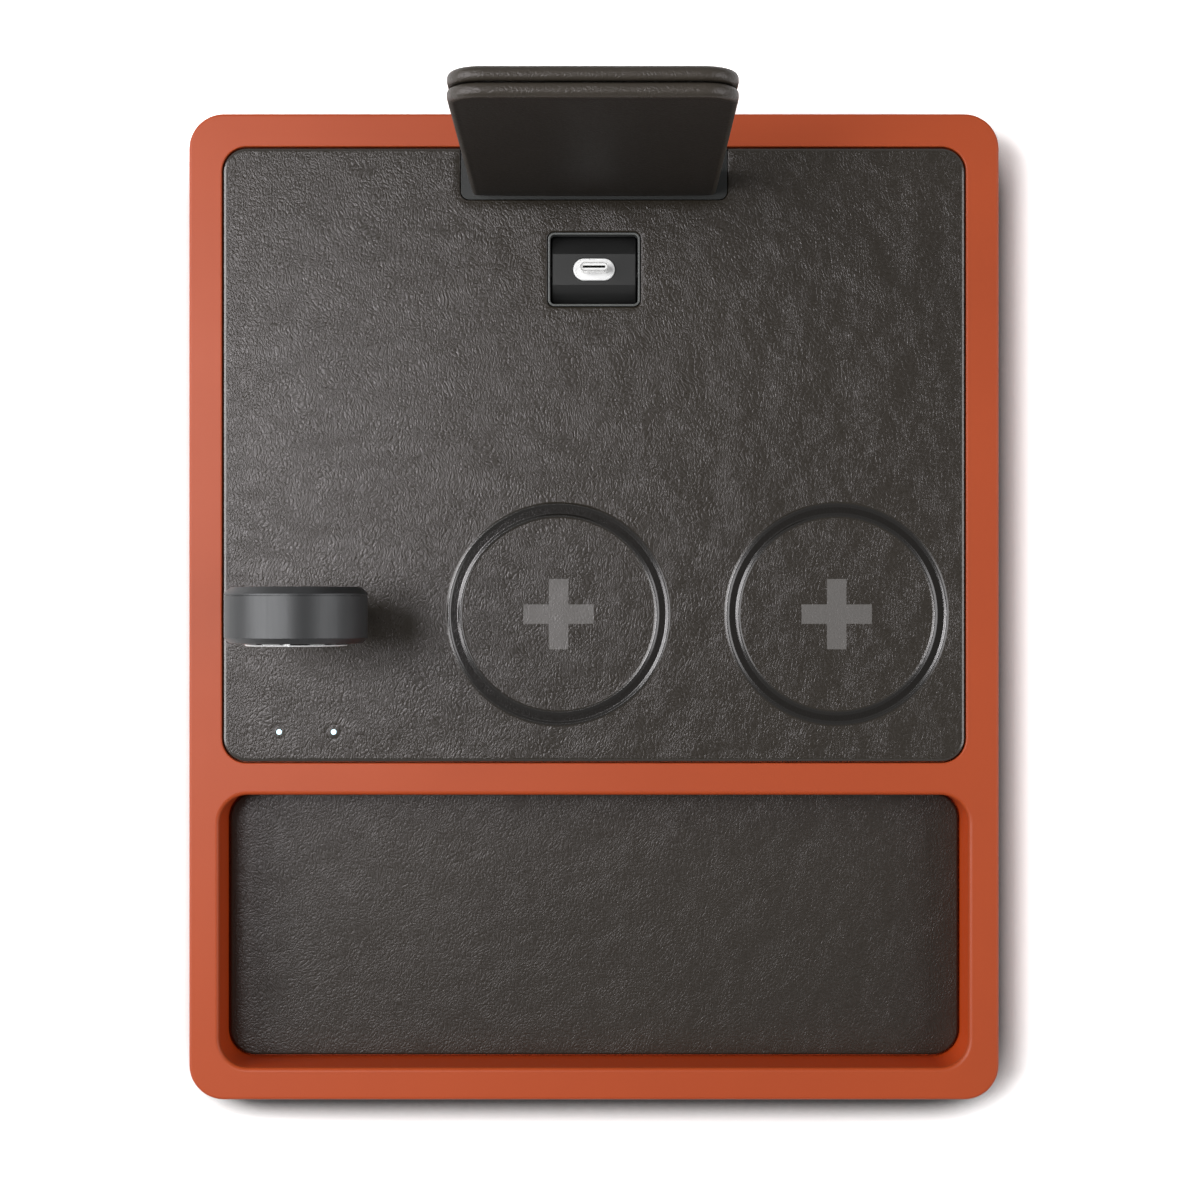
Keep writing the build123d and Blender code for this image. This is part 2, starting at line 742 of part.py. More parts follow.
# Cradle: two bored ears joined by a floor that stops the drum at both ends of its swing
cradle_top_z = flange_bottom_z - cradle_flange_thickness
cradle_bottom_z = cradle_floor_z - cradle_floor_thickness
with BuildPart() as rocker_cradle:
    with BuildSketch(Plane.XY.offset(cradle_bottom_z)):
        with Locations((0, rocker_y)):
            Rectangle(2 * cradle_half, ear_width)
    extrude(amount=flange_bottom_z - cradle_bottom_z)
    with BuildSketch(Plane.XY.offset(cradle_top_z)):
        with Locations((0, rocker_y)):
            RectangleRounded(2 * (cradle_half + cradle_flange_reach), ear_width, bezel_flange)
    extrude(amount=cradle_flange_thickness)
    with BuildSketch(along_x(-cradle_ear_x)):
        with Locations((0, (flange_bottom_z + cradle_floor_z) / 2 - drum_axis_z)):
            Rectangle(ear_width, flange_bottom_z - cradle_floor_z)
    extrude(amount=2 * cradle_ear_x, mode=Mode.SUBTRACT)
    with BuildSketch(along_x(-cradle_half)):
        Circle(pin_radius + pin_running_gap)
    extrude(amount=2 * cradle_half, mode=Mode.SUBTRACT)
    with BuildSketch(Plane.XY.offset(cradle_bottom_z)):
        with Locations((0, rocker_y)):
            SlotOverall(cradle_slot_length, cradle_slot_width, rotation=90)
    extrude(amount=cradle_floor_thickness, mode=Mode.SUBTRACT)
    with BuildSketch(Plane.XY.offset(cradle_top_z)):
        with Locations(*cradle_screw_places):
            Circle(small_screw_radius + screw_slack)
    extrude(amount=cradle_flange_thickness, mode=Mode.SUBTRACT)
rocker_cradle.part.label = "rocker_cradle"
export_step(rocker_cradle.part, "parts/rocker_cradle.step")

cradle_screws = upward_screws(
    cradle_screw_places,
    cradle_top_z,
    small_screw_radius,
    small_head_radius,
    small_head_height,
    cradle_flange_thickness + bezel_flange_thickness + small_bite,
)
cradle_screws.part.label = "cradle_screws"
export_step(cradle_screws.part, "parts/cradle_screws.step")

# Drum: a cylinder with a flat land on top and a flat underside, slotted for the plug
collar_bottom_z = drum_bottom_z + clamp_thickness
with BuildPart() as rocker_drum:
    with BuildSketch(along_x(-drum_length / 2)):
        Circle(drum_radius)
        with Locations((0, (land_height - drum_base_depth) / 2)):
            Rectangle(2 * drum_radius, land_height + drum_base_depth, mode=Mode.INTERSECT)
    extrude(amount=drum_length)
    chamfer(rocker_drum.faces().filter_by(Plane.YZ).edges(), length=drum_end_edge)
    with BuildSketch(Plane.XY.offset(drum_bottom_z)):
        with Locations((0, rocker_y)):
            SlotOverall(plug_body_width + 2 * plug_body_gap, plug_body_height + 2 * plug_body_gap)
    extrude(amount=land_height + drum_base_depth, mode=Mode.SUBTRACT)
    with BuildSketch(Plane.XY.offset(drum_bottom_z)):
        with Locations((0, rocker_y)):
            SlotOverall(
                plug_body_width + 2 * (plug_collar + plug_body_gap),
                plug_body_height + 2 * (plug_collar + plug_body_gap),
            )
    extrude(amount=clamp_thickness + plug_collar_height, mode=Mode.SUBTRACT)
    with BuildSketch(Plane.XY.offset(drum_bottom_z)):
        with Locations((0, rocker_y)):
            RectangleRounded(clamp_width + 2 * clamp_gap, clamp_depth + 2 * clamp_gap, clamp_corner)
    extrude(amount=clamp_thickness, mode=Mode.SUBTRACT)
    with BuildSketch(Plane.XY.offset(drum_bottom_z)):
        with Locations((0, rocker_y)):
            with GridLocations(clamp_screw_spacing, 0, 2, 1):
                Circle(small_screw_radius + screw_slack / 2)
    extrude(amount=clamp_thickness + clamp_screw_bite, mode=Mode.SUBTRACT)
    for side in (-1, 1):
        with BuildSketch(along_x(side * drum_length / 2)):
            Circle(pin_radius)
        extrude(amount=-side * pin_seat, mode=Mode.SUBTRACT)
rocker_drum.part.label = "rocker_drum"
export_step(rocker_drum.part, "parts/rocker_drum.step")

for side_name, side in (("left", -1), ("right", 1)):
    with BuildPart() as pin:
        with BuildSketch(along_x(side * (drum_length / 2 - pin_seat))):
            Circle(pin_radius)
        extrude(amount=side * (pin_seat + cradle_gap + ear_thickness + pin_end_gap))
        with BuildSketch(along_x(side * (cradle_half + pin_end_gap))):
            Circle(pin_head_radius)
        extrude(amount=side * pin_head_thickness)
    pin.part.label = f"rocker_pin_{side_name}"
    export_step(pin.part, f"parts/rocker_pin_{side_name}.step")

# Plug: moulded body with a collar and a tail, a metal tip and the insert inside it
body_top_z = drum_top_z + plug_body_proud
with BuildPart() as plug_body:
    with BuildSketch(Plane.XY.offset(collar_bottom_z)):
        with Locations((0, rocker_y)):
            SlotOverall(plug_body_width, plug_body_height)
    extrude(amount=body_top_z - collar_bottom_z)
    fillet(plug_body.faces().sort_by(Axis.Z)[-1].edges(), radius=plug_body_edge)
    with BuildSketch(Plane.XY.offset(collar_bottom_z)):
        with Locations((0, rocker_y)):
            SlotOverall(plug_body_width + 2 * plug_collar, plug_body_height + 2 * plug_collar)
    extrude(amount=plug_collar_height)
    with BuildSketch(Plane.XY.offset(drum_bottom_z - plug_tail_length)):
        with Locations((0, rocker_y)):
            Circle(plug_tail_radius)
    extrude(amount=clamp_thickness + plug_tail_length)
    with BuildSketch(Plane.XY.offset(body_top_z - plug_tip_root)):
        with Locations((0, rocker_y)):
            SlotOverall(plug_tip_width, plug_tip_height)
    extrude(amount=plug_tip_root, mode=Mode.SUBTRACT)
plug_body.part.label = "plug_body"
export_step(plug_body.part, "parts/plug_body.step")

tip_inner_width = plug_tip_width - 2 * plug_tip_wall
tip_inner_height = plug_tip_height - 2 * plug_tip_wall
with BuildPart() as plug_tip:
    with BuildSketch(Plane.XY.offset(body_top_z - plug_tip_root)):
        with Locations((0, rocker_y)):
            SlotOverall(plug_tip_width, plug_tip_height)
            SlotOverall(tip_inner_width, tip_inner_height, mode=Mode.SUBTRACT)
    extrude(amount=plug_tip_root + plug_tip_length)
plug_tip.part.label = "plug_tip"
export_step(plug_tip.part, "parts/plug_tip.step")

with BuildPart() as plug_insert:
    with BuildSketch(Plane.XY.offset(body_top_z - plug_tip_root)):
        with Locations((0, rocker_y)):
            SlotOverall(tip_inner_width, tip_inner_height)
    extrude(amount=plug_tip_root + plug_tip_length - plug_tip_wall)
    with BuildSketch(Plane.XY.offset(body_top_z + plug_tip_length - plug_tip_wall)):
        with Locations((0, rocker_y)):
            Rectangle(plug_mouth_width, plug_mouth_height)
    extrude(amount=-plug_mouth_depth, mode=Mode.SUBTRACT)
plug_insert.part.label = "plug_insert"
export_step(plug_insert.part, "parts/plug_insert.step")

with BuildPart() as plug_clamp:
    with BuildSketch(Plane.XY.offset(drum_bottom_z)):
        with Locations((0, rocker_y)):
            RectangleRounded(clamp_width, clamp_depth, clamp_corner)
            Circle(plug_tail_radius + plug_tail_gap, mode=Mode.SUBTRACT)
            with GridLocations(clamp_screw_spacing, 0, 2, 1):
                Circle(small_screw_radius + screw_slack, mode=Mode.SUBTRACT)
    extrude(amount=clamp_thickness)
plug_clamp.part.label = "plug_clamp"
export_step(plug_clamp.part, "parts/plug_clamp.step")

clamp_screws = upward_screws(
    [(side * clamp_screw_spacing / 2, rocker_y) for side in (-1, 1)],
    drum_bottom_z,
    small_screw_radius,
    small_head_radius,
    small_head_height,
    clamp_thickness + clamp_screw_bite,
)
clamp_screws.part.label = "clamp_screws"
export_step(clamp_screws.part, "parts/clamp_screws.step")

# Backrest foot plate: fills the cut-out flush with the deck, its flange under the board
flange_half = plate_width / 2 + plate_flange
plate_flange_front = plate_front_y - plate_flange
plate_flange_rear = deck_rear_y - ledge_width - plate_rear_gap
plate_flange_z = ledge_z - plate_flange_thickness
stand_plane = Plane(
    origin=(0, stand_front_y, frame_top),
    x_dir=(1, 0, 0),
    z_dir=(0, -cos(radians(stand_lean)), sin(radians(stand_lean))),
)
spine_middle = pad_thickness + pad_seam / 2
spine_foot_z = plate_flange_z - spine_thickness
spine_reach = frame_top - spine_foot_z + overrun
stand_screw_places = plate_front_screws + plate_back_screws
with BuildPart() as stand_foot_plate:
    with BuildSketch(Plane.XY.offset(plate_flange_z)):
        with Locations((0, (plate_flange_front + plate_flange_rear) / 2)):
            RectangleRounded(2 * flange_half, plate_flange_rear - plate_flange_front, plate_corner)
    extrude(amount=plate_flange_thickness)
    with BuildSketch(Plane.XY.offset(ledge_z)) as plate_outline:
        with Locations((0, plate_y)):
            Rectangle(plate_width, plate_depth)
        fillet(plate_outline.vertices().group_by(Axis.Y)[0], radius=plate_corner)
    extrude(amount=frame_top - ledge_z)
    with BuildSketch(stand_plane.offset(-spine_middle + spine_thickness / 2 + spine_gap)):
        Rectangle(spine_width + 2 * spine_gap, 2 * spine_reach)
    extrude(amount=-spine_thickness - 2 * spine_gap, mode=Mode.SUBTRACT)
    with BuildSketch(Plane.XY.offset(plate_flange_z)):
        with Locations(*plate_front_screws):
            Circle(small_screw_radius + screw_slack)
    extrude(amount=plate_flange_thickness, mode=Mode.SUBTRACT)
    with BuildSketch(Plane.XY.offset(plate_flange_z)):
        with Locations(*plate_back_screws):
            Circle(small_screw_radius + screw_slack / 2)
    extrude(amount=plate_flange_thickness + small_bite + screw_slack, mode=Mode.SUBTRACT)
stand_foot_plate.part.label = "stand_foot_plate"
export_step(stand_foot_plate.part, "parts/stand_foot_plate.step")

# Spine: a steel plate up the middle of the backrest, bent forward under the foot plate
with BuildPart() as stand_spine:
    with BuildSketch(stand_plane.offset(-spine_middle + spine_thickness / 2)) as spine_outline:
        with Locations((0, (stand_height - spine_inset - spine_reach) / 2)):
            Rectangle(spine_width, stand_height - spine_inset + spine_reach)
        fillet(spine_outline.vertices().group_by(Axis.Y)[-1], radius=spine_corner)
    extrude(amount=-spine_thickness)
    split(bisect_by=Plane.XY.offset(spine_foot_z), keep=Keep.TOP)
    spine_rear_y = stand_spine.faces().sort_by(Axis.Z)[0].center().Y
    with BuildSketch(Plane.XY.offset(spine_foot_z)):
        with Locations((0, (plate_flange_front + spine_rear_y) / 2)):
            Rectangle(spine_width, spine_rear_y - plate_flange_front)
    extrude(amount=spine_thickness)
    with BuildSketch(Plane.XY.offset(spine_foot_z)):
        with Locations(*stand_screw_places):
            Circle(small_screw_radius + screw_slack)
    extrude(amount=spine_thickness, mode=Mode.SUBTRACT)
stand_spine.part.label = "stand_spine"
export_step(stand_spine.part, "parts/stand_spine.step")

stand_screws = upward_screws(
    stand_screw_places,
    spine_foot_z,
    small_screw_radius,
    small_head_radius,
    small_head_height,
    spine_thickness + plate_flange_thickness + small_bite,
)
stand_screws.part.label = "stand_screws"
export_step(stand_screws.part, "parts/stand_screws.step")

# Pads: the two halves differ only in which way their soft edge faces
front_pad_back = -pad_thickness
back_pad_front = front_pad_back - pad_seam
pad_sides = {
    "stand_front_pad": (0, front_pad_back, 1),
    "stand_back_pad": (back_pad_front - pad_thickness, back_pad_front, -1),
}
for pad_name, (outer_face, seam_face, facing) in pad_sides.items():
    with BuildPart() as pad:
        with BuildSketch(stand_plane.offset(seam_face)) as pad_outline:
            with Locations((0, (stand_height - overrun) / 2)):
                Rectangle(stand_width, stand_height + overrun)
            fillet(pad_outline.vertices().group_by(Axis.Y)[-1], radius=stand_corner)
        extrude(amount=outer_face - seam_face)
        split(bisect_by=Plane.XY.offset(frame_top), keep=Keep.TOP)
        outward = Axis((0, stand_front_y, frame_top), stand_plane.z_dir * facing)
        fillet(pad.faces().sort_by(outward)[-1].edges().sort_by(Axis.Z)[1:], radius=pad_front_edge)
        fillet(pad.faces().sort_by(outward)[0].edges().sort_by(Axis.Z)[1:], radius=pad_seam_edge)
        with BuildSketch(stand_plane.offset(seam_face)) as spine_pocket:
            with Locations((0, (stand_height - spine_inset + spine_gap - overrun) / 2)):
                Rectangle(spine_width + 2 * spine_gap, stand_height - spine_inset + spine_gap + overrun)
            fillet(spine_pocket.vertices().group_by(Axis.Y)[-1], radius=spine_corner)
        extrude(amount=facing * (spine_thickness - pad_seam) / 2, mode=Mode.SUBTRACT)
    pad.part.label = pad_name
    export_step(pad.part, f"parts/{pad_name}.step")

# Watch head: a turned cup with a back cap and a white puck in front, its axis along Y
watch_z = frame_top + watch_lift
head_axis = Axis((watch_x, watch_front_y, watch_z), (0, 1, 0))
head_section = Plane(origin=(watch_x, watch_front_y, watch_z), x_dir=(0, 1, 0), z_dir=(1, 0, 0))
shell_length = head_length - head_cap_length - head_seam


def across_head(depth):
    """A sketch plane across the head's axis, depth behind its front face, facing back."""
    return Plane(origin=(watch_x, watch_front_y + depth, watch_z), x_dir=(-1, 0, 0), z_dir=(0, 1, 0))


with BuildPart() as watch_shell:
    with BuildSketch(head_section) as shell_section:
        with BuildLine():
            Polyline(
                (0, puck_radius + puck_gap),
                (0, head_radius - head_bevel),
                (head_bevel, head_radius),
                (shell_length, head_radius),
                (shell_length, head_radius - head_wall),
                (head_front_wall, head_radius - head_wall),
                (head_front_wall, puck_radius + puck_gap),
                close=True,
            )
        make_face()
        bevel_ends = shell_section.vertices()
        bevel_ends = bevel_ends.filter_by_position(Axis.Y, head_radius - head_bevel, head_radius)
        fillet(bevel_ends.filter_by_position(Axis.X, 0, head_bevel), radius=head_bevel_round)
    revolve(axis=head_axis)
    with BuildSketch(Plane.XY.offset(watch_z - head_radius - overrun)):
        with Locations((watch_x, watch_y)):
            Circle(stem_stud_radius + stem_stud_gap)
    extrude(amount=head_wall + 2 * overrun, mode=Mode.SUBTRACT)
watch_shell.part.label = "watch_shell"
export_step(watch_shell.part, "parts/watch_shell.step")

with BuildPart() as watch_back_cap:
    with BuildSketch(head_section) as cap_section:
        with BuildLine():
            Polyline(
                (head_length - head_cap_length, 0),
                (head_length - head_cap_length, head_radius),
                (head_length - head_cap_bevel, head_radius),
                (head_length, head_radius - head_cap_bevel),
                (head_length, 0),
                close=True,
            )
        make_face()
        cap_ends = cap_section.vertices()
        cap_ends = cap_ends.filter_by_position(Axis.Y, head_radius - head_cap_bevel, head_radius)
        cap_ends = cap_ends.filter_by_position(Axis.X, head_length - head_cap_bevel, head_length)
        fillet(cap_ends, radius=head_bevel_round)
    revolve(axis=head_axis)
    with BuildSketch(across_head(head_length - head_cap_length - cap_ring_length)):
        Circle(head_radius - head_wall - puck_gap)
        Circle(head_radius - 2 * head_wall, mode=Mode.SUBTRACT)
    extrude(amount=cap_ring_length)
watch_back_cap.part.label = "watch_back_cap"
export_step(watch_back_cap.part, "parts/watch_back_cap.step")

puck_back = head_front_wall + puck_flange_thickness
with BuildPart() as watch_puck:
    with BuildSketch(head_section) as puck_section:
        with BuildLine():
            Polyline(
                (-puck_proud, puck_radius - puck_edge),
                (-puck_proud, puck_radius),
                (head_front_wall, puck_radius),
                (head_front_wall, puck_radius + puck_flange),
                (puck_back, puck_radius + puck_flange),
                (puck_back, 0),
                (puck_dish - puck_proud, 0),
            )
            ThreePointArc(
                (puck_dish - puck_proud, 0),
                (puck_dish * 3 / 4 - puck_proud, (puck_radius - puck_edge) / 2),
                (-puck_proud, puck_radius - puck_edge),
            )
        make_face()
    revolve(axis=head_axis)
    fillet(
        watch_puck.edges().filter_by(GeomType.CIRCLE).filter_by_position(
            Axis.Y, watch_front_y - puck_proud, watch_front_y - puck_proud / 2
        ).sort_by(SortBy.LENGTH)[-1:],
        radius=puck_edge / 2,
    )
watch_puck.part.label = "watch_puck"
export_step(watch_puck.part, "parts/watch_puck.step")

with BuildPart() as watch_coil:
    with BuildSketch(across_head(puck_back)):
        Circle(watch_coil_outer_radius)
        Circle(watch_coil_inner_radius, mode=Mode.SUBTRACT)
    extrude(amount=watch_coil_thickness)
watch_coil.part.label = "watch_coil"
export_step(watch_coil.part, "parts/watch_coil.step")

with BuildPart() as watch_ferrite:
    with BuildSketch(across_head(puck_back + watch_coil_thickness)):
        Circle(watch_coil_outer_radius)
    extrude(amount=watch_ferrite_thickness)
watch_ferrite.part.label = "watch_ferrite"
export_step(watch_ferrite.part, "parts/watch_ferrite.step")

# Stem: tapers from the deck to the head, with a tenon above, a stud below and a bore for the lead
nut_z = ledge_z - nut_thickness
head_bottom_z = watch_z - head_radius
with BuildPart() as watch_stem:
    with BuildSketch(Plane.XY.offset(frame_top)):
        with Locations((watch_x, watch_y)):
            RectangleRounded(stem_foot_width, stem_foot_depth, stem_corner)
    with BuildSketch(Plane.XY.offset(watch_z - head_radius / 2)):
        with Locations((watch_x, watch_y)):
            RectangleRounded(stem_top_width, stem_top_depth, stem_corner)
    loft()
    with BuildSketch(across_head(-head_radius)):
        Circle(head_radius + stem_seat_gap)
    extrude(amount=2 * head_length + 2 * head_radius, mode=Mode.SUBTRACT)
    with BuildSketch(Plane.XY.offset(nut_z - overrun)):
        with Locations((watch_x, watch_y)):
            Circle(stem_stud_radius)
    extrude(amount=head_bottom_z + stem_tenon_length - nut_z + overrun)
    with BuildSketch(Plane.XY.offset(nut_z - overrun)):
        with Locations((watch_x, watch_y)):
            Circle(stem_bore_radius)
    extrude(amount=head_bottom_z + stem_tenon_length - nut_z + overrun, mode=Mode.SUBTRACT)
watch_stem.part.label = "watch_stem"
export_step(watch_stem.part, "parts/watch_stem.step")

with BuildPart() as stem_nut:
    with BuildSketch(Plane.XY.offset(nut_z)):
        with Locations((watch_x, watch_y)):
            RegularPolygon(nut_radius, 6)
            Circle(stem_stud_radius + stem_stud_gap, mode=Mode.SUBTRACT)
    extrude(amount=nut_thickness)
stem_nut.part.label = "stem_nut"
export_step(stem_nut.part, "parts/stem_nut.step")

# Control board on the base cover's standoffs, with the parts soldered to it
circuit_bottom_z = base_top + standoff_height
board_front_y = board_y - board_depth / 2
row_pitch = (board_depth - row_front_inset - row_rear_inset) / last_row
with BuildPart() as control_board:
    with BuildSketch(Plane.XY.offset(circuit_bottom_z)):
        with Locations((board_x, board_y)):
            Rectangle(board_width, board_depth)
        with Locations(*board_screw_places):
            Circle(small_screw_radius + screw_slack, mode=Mode.SUBTRACT)
    extrude(amount=circuit_thickness)
control_board.part.label = "control_board"
export_step(control_board.part, "parts/control_board.step")

with BuildPart() as board_screws:
    with BuildSketch(Plane.XY.offset(board_top)):
        with Locations(*board_screw_places):
            Circle(small_head_radius)
    extrude(amount=small_head_height)
    with BuildSketch(Plane.XY.offset(board_top)):
        with Locations(*board_screw_places):
            Circle(small_screw_radius)
    extrude(amount=-circuit_thickness - small_bite)
    with BuildSketch(Plane.XY.offset(board_top + small_head_height)):
        with Locations(*board_screw_places):
            RegularPolygon(screw_socket_radius, 6)
    extrude(amount=-screw_socket_depth, mode=Mode.SUBTRACT)
board_screws.part.label = "board_screws"
export_step(board_screws.part, "parts/board_screws.step")


def board_row(row, count, pitch):
    """Places of a row of parts on the control board, rows counted from its front edge."""
    row_y = board_front_y + row_front_inset + row * row_pitch
    return [(board_x + (step - (count - 1) / 2) * pitch, row_y) for step in range(count)]


with BuildPart() as board_headers:
    with BuildSketch(Plane.XY.offset(board_top)):
        with Locations(*board_row(0, 4, header_pitch)):
            Rectangle(header_width, header_depth)
    extrude(amount=header_height)
    with BuildSketch(Plane.XY.offset(board_top + header_height)):
        with Locations(*board_row(0, 4, header_pitch)):
            Rectangle(header_width - 2 * header_wall, header_depth - 2 * header_wall)
    extrude(amount=header_wall - header_height, mode=Mode.SUBTRACT)
board_headers.part.label = "board_headers"
export_step(board_headers.part, "parts/board_headers.step")

with BuildPart() as board_inductors:
    with BuildSketch(Plane.XY.offset(board_top)):
        with Locations(*board_row(1, 3, inductor_pitch)):
            RectangleRounded(inductor_size, inductor_size, inductor_corner)
    extrude(amount=inductor_height)
board_inductors.part.label = "board_inductors"
export_step(board_inductors.part, "parts/board_inductors.step")

with BuildPart() as board_chips:
    with BuildSketch(Plane.XY.offset(board_top)):
        with Locations(*board_row(2, 4, chip_pitch)):
            Rectangle(chip_size, chip_size)
    extrude(amount=chip_height)
board_chips.part.label = "board_chips"
export_step(board_chips.part, "parts/board_chips.step")

with BuildPart() as board_capacitors:
    with BuildSketch(Plane.XY.offset(board_top)):
        with Locations(*board_row(last_row, 4, capacitor_pitch)):
            Circle(capacitor_radius)
    extrude(amount=capacitor_height)
board_capacitors.part.label = "board_capacitors"
export_step(board_capacitors.part, "parts/board_capacitors.step")

# Power inlet: a socket on the board's rear edge, its mouth at the bottom of the rear recess
inlet_face = Plane.XZ.offset(-inlet_mouth_y)
inlet_back = Plane.XZ.offset(inlet_length - inlet_mouth_y)
with BuildPart() as inlet_shell:
    with BuildSketch(inlet_face):
        with Locations((inlet_x, inlet_z)):
            SlotOverall(inlet_width, inlet_height)
            SlotOverall(inlet_width - 2 * inlet_wall, inlet_height - 2 * inlet_wall, mode=Mode.SUBTRACT)
    extrude(amount=inlet_length)
inlet_shell.part.label = "inlet_shell"
export_step(inlet_shell.part, "parts/inlet_shell.step")

with BuildPart() as inlet_tongue:
    with BuildSketch(inlet_back):
        with Locations((inlet_x, inlet_z)):
            SlotOverall(inlet_width - 2 * inlet_wall, inlet_height - 2 * inlet_wall)
    extrude(amount=-inlet_back_thickness)
    with BuildSketch(inlet_back):
        with Locations((inlet_x, inlet_z)):
            Rectangle(inlet_tongue_width, inlet_tongue_height)
    extrude(amount=-inlet_back_thickness - inlet_tongue_length)
inlet_tongue.part.label = "inlet_tongue"
export_step(inlet_tongue.part, "parts/inlet_tongue.step")

# Indicator lights: two clear pipes in a holder, over two light chips on their own small board
holder_z = ledge_z - light_holder_height
light_board_z = holder_z - light_board_thickness
with BuildPart() as light_holder:
    with BuildSketch(Plane.XY.offset(holder_z)):
        with Locations((light_middle_x, light_y)):
            Rectangle(light_board_width, light_board_depth)
        with Locations(*light_places):
            Circle(light_flange_radius + light_gap, mode=Mode.SUBTRACT)
        with Locations(*light_screw_places):
            Circle(small_screw_radius + screw_slack, mode=Mode.SUBTRACT)
    extrude(amount=light_holder_height)
light_holder.part.label = "light_holder"
export_step(light_holder.part, "parts/light_holder.step")

with BuildPart() as light_board:
    with BuildSketch(Plane.XY.offset(light_board_z)):
        with Locations((light_middle_x, light_y)):
            Rectangle(light_board_width, light_board_depth)
        with Locations(*light_screw_places):
            Circle(small_screw_radius + screw_slack, mode=Mode.SUBTRACT)
    extrude(amount=light_board_thickness)
light_board.part.label = "light_board"
export_step(light_board.part, "parts/light_board.step")

with BuildPart() as light_chips:
    with BuildSketch(Plane.XY.offset(holder_z)):
        with Locations(*light_places):
            Rectangle(light_chip_width, light_chip_depth)
    extrude(amount=light_chip_height)
light_chips.part.label = "light_chips"
export_step(light_chips.part, "parts/light_chips.step")

for side_name, light_place in zip(("left", "right"), light_places):
    with BuildPart() as light_pipe:
        with BuildSketch(Plane.XY.offset(ledge_z - light_flange_height)):
            with Locations(light_place):
                Circle(light_flange_radius)
        extrude(amount=light_flange_height)
        with BuildSketch(Plane.XY.offset(ledge_z)):
            with Locations(light_place):
                Circle(light_pipe_radius)
        extrude(amount=frame_top + light_pipe_proud - ledge_z)
    light_pipe.part.label = f"light_pipe_{side_name}"
    export_step(light_pipe.part, f"parts/light_pipe_{side_name}.step")

light_screws = upward_screws(
    light_screw_places,
    light_board_z,
    small_screw_radius,
    small_head_radius,
    small_head_height,
    light_board_thickness + light_holder_height + small_bite,
)
light_screws.part.label = "light_screws"
export_step(light_screws.part, "parts/light_screws.step")
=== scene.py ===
# %% [markdown]
# # A charging station organizer, dressed for the camera
#
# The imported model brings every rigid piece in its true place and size.
# This lesson adds what the rigid model can't say by itself: the leather skins,
# the padded backrest, the finish of each piece, the light and the camera.
# Everything is in metres, the tray lies at -Y and the floor is z = 0.

from math import cos, radians, sin, tau

import bpy
import numpy as np
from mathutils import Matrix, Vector
from mathutils.geometry import delaunay_2d_cdt


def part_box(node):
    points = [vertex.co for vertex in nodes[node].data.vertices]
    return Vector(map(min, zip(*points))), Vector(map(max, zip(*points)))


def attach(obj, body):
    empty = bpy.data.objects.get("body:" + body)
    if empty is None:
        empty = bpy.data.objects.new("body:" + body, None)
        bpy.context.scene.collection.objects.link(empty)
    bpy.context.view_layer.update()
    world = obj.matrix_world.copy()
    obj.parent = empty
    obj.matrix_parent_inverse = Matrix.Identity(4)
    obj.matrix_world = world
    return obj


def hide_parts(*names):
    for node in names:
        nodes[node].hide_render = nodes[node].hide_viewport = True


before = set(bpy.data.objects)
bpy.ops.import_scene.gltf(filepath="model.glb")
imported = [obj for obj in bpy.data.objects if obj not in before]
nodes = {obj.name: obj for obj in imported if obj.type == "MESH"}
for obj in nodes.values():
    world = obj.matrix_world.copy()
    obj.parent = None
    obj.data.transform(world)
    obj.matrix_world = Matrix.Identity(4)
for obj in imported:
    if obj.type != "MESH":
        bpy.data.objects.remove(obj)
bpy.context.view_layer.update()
MM = 0.001
deck_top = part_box("tray_frame")[1].z
print("nodes:", len(nodes), "deck face at z =", round(deck_top, 4))

# %% [markdown]
# ## The camera
#
# The picture was taken from straight above. The backrest spreads outwards from the
# middle of the picture as it rises, and how much it spreads gives the distance:
# 755 mm above the deck. The lens then follows from the width that fills the picture.

# %% Camera straight above
camera_above_deck = 755 * MM
picture_width_at_deck = 358.5 * MM
picture_middle = (1.79 * MM, 2.02 * MM)
sensor_width = 36.0
camera = bpy.data.objects.new("camera", bpy.data.cameras.new("camera"))
bpy.context.scene.collection.objects.link(camera)
camera.location = (*picture_middle, deck_top + camera_above_deck)
camera.data.sensor_width = sensor_width
camera.data.lens = sensor_width * camera_above_deck / picture_width_at_deck
camera.data.clip_start = 0.01
bpy.context.scene.camera = camera
print("lens:", round(camera.data.lens, 2), "mm")

# %% [markdown]
# ## Light and floor
#
# A big soft box stands to the left, a smaller one higher up throws the short shadows
# to the right and to the front, and a weak one on the right opens the dark side.
# The world adds a little light from everywhere. Together they light a level surface
# so that its colour comes out about as it is written.

# %% Lamps
lamp_aim = Vector((0, 0, 0.02))


def soft_box(name, place, side, power):
    """A square area lamp at place, turned so that its face looks at the aim."""
    lamp = bpy.data.objects.new(name, bpy.data.lights.new(name, "AREA"))
    bpy.context.scene.collection.objects.link(lamp)
    lamp.location = place
    lamp.rotation_euler = (lamp_aim - Vector(place)).to_track_quat("-Z", "Y").to_euler()
    lamp.data.shape = "RECTANGLE"
    lamp.data.size = lamp.data.size_y = side
    lamp.data.energy = power
    lamp.visible_camera = False


soft_box("left_box", (-0.82, 0.10, 0.66), side=0.8, power=9.3)
soft_box("high_box", (-0.40, 0.10, 1.26), side=0.3, power=5.0)
soft_box("right_box", (0.80, 0.0, 0.66), side=0.7, power=3.9)

# %% [markdown]
# ## Node helpers
#
# Every finish is made of the same few steps, so a few helpers keep the cells short:
# one adds a node and fills or links its sockets, two do a step of arithmetic on
# numbers or on vectors, and the others are a noise, a smooth ramp and a blend.

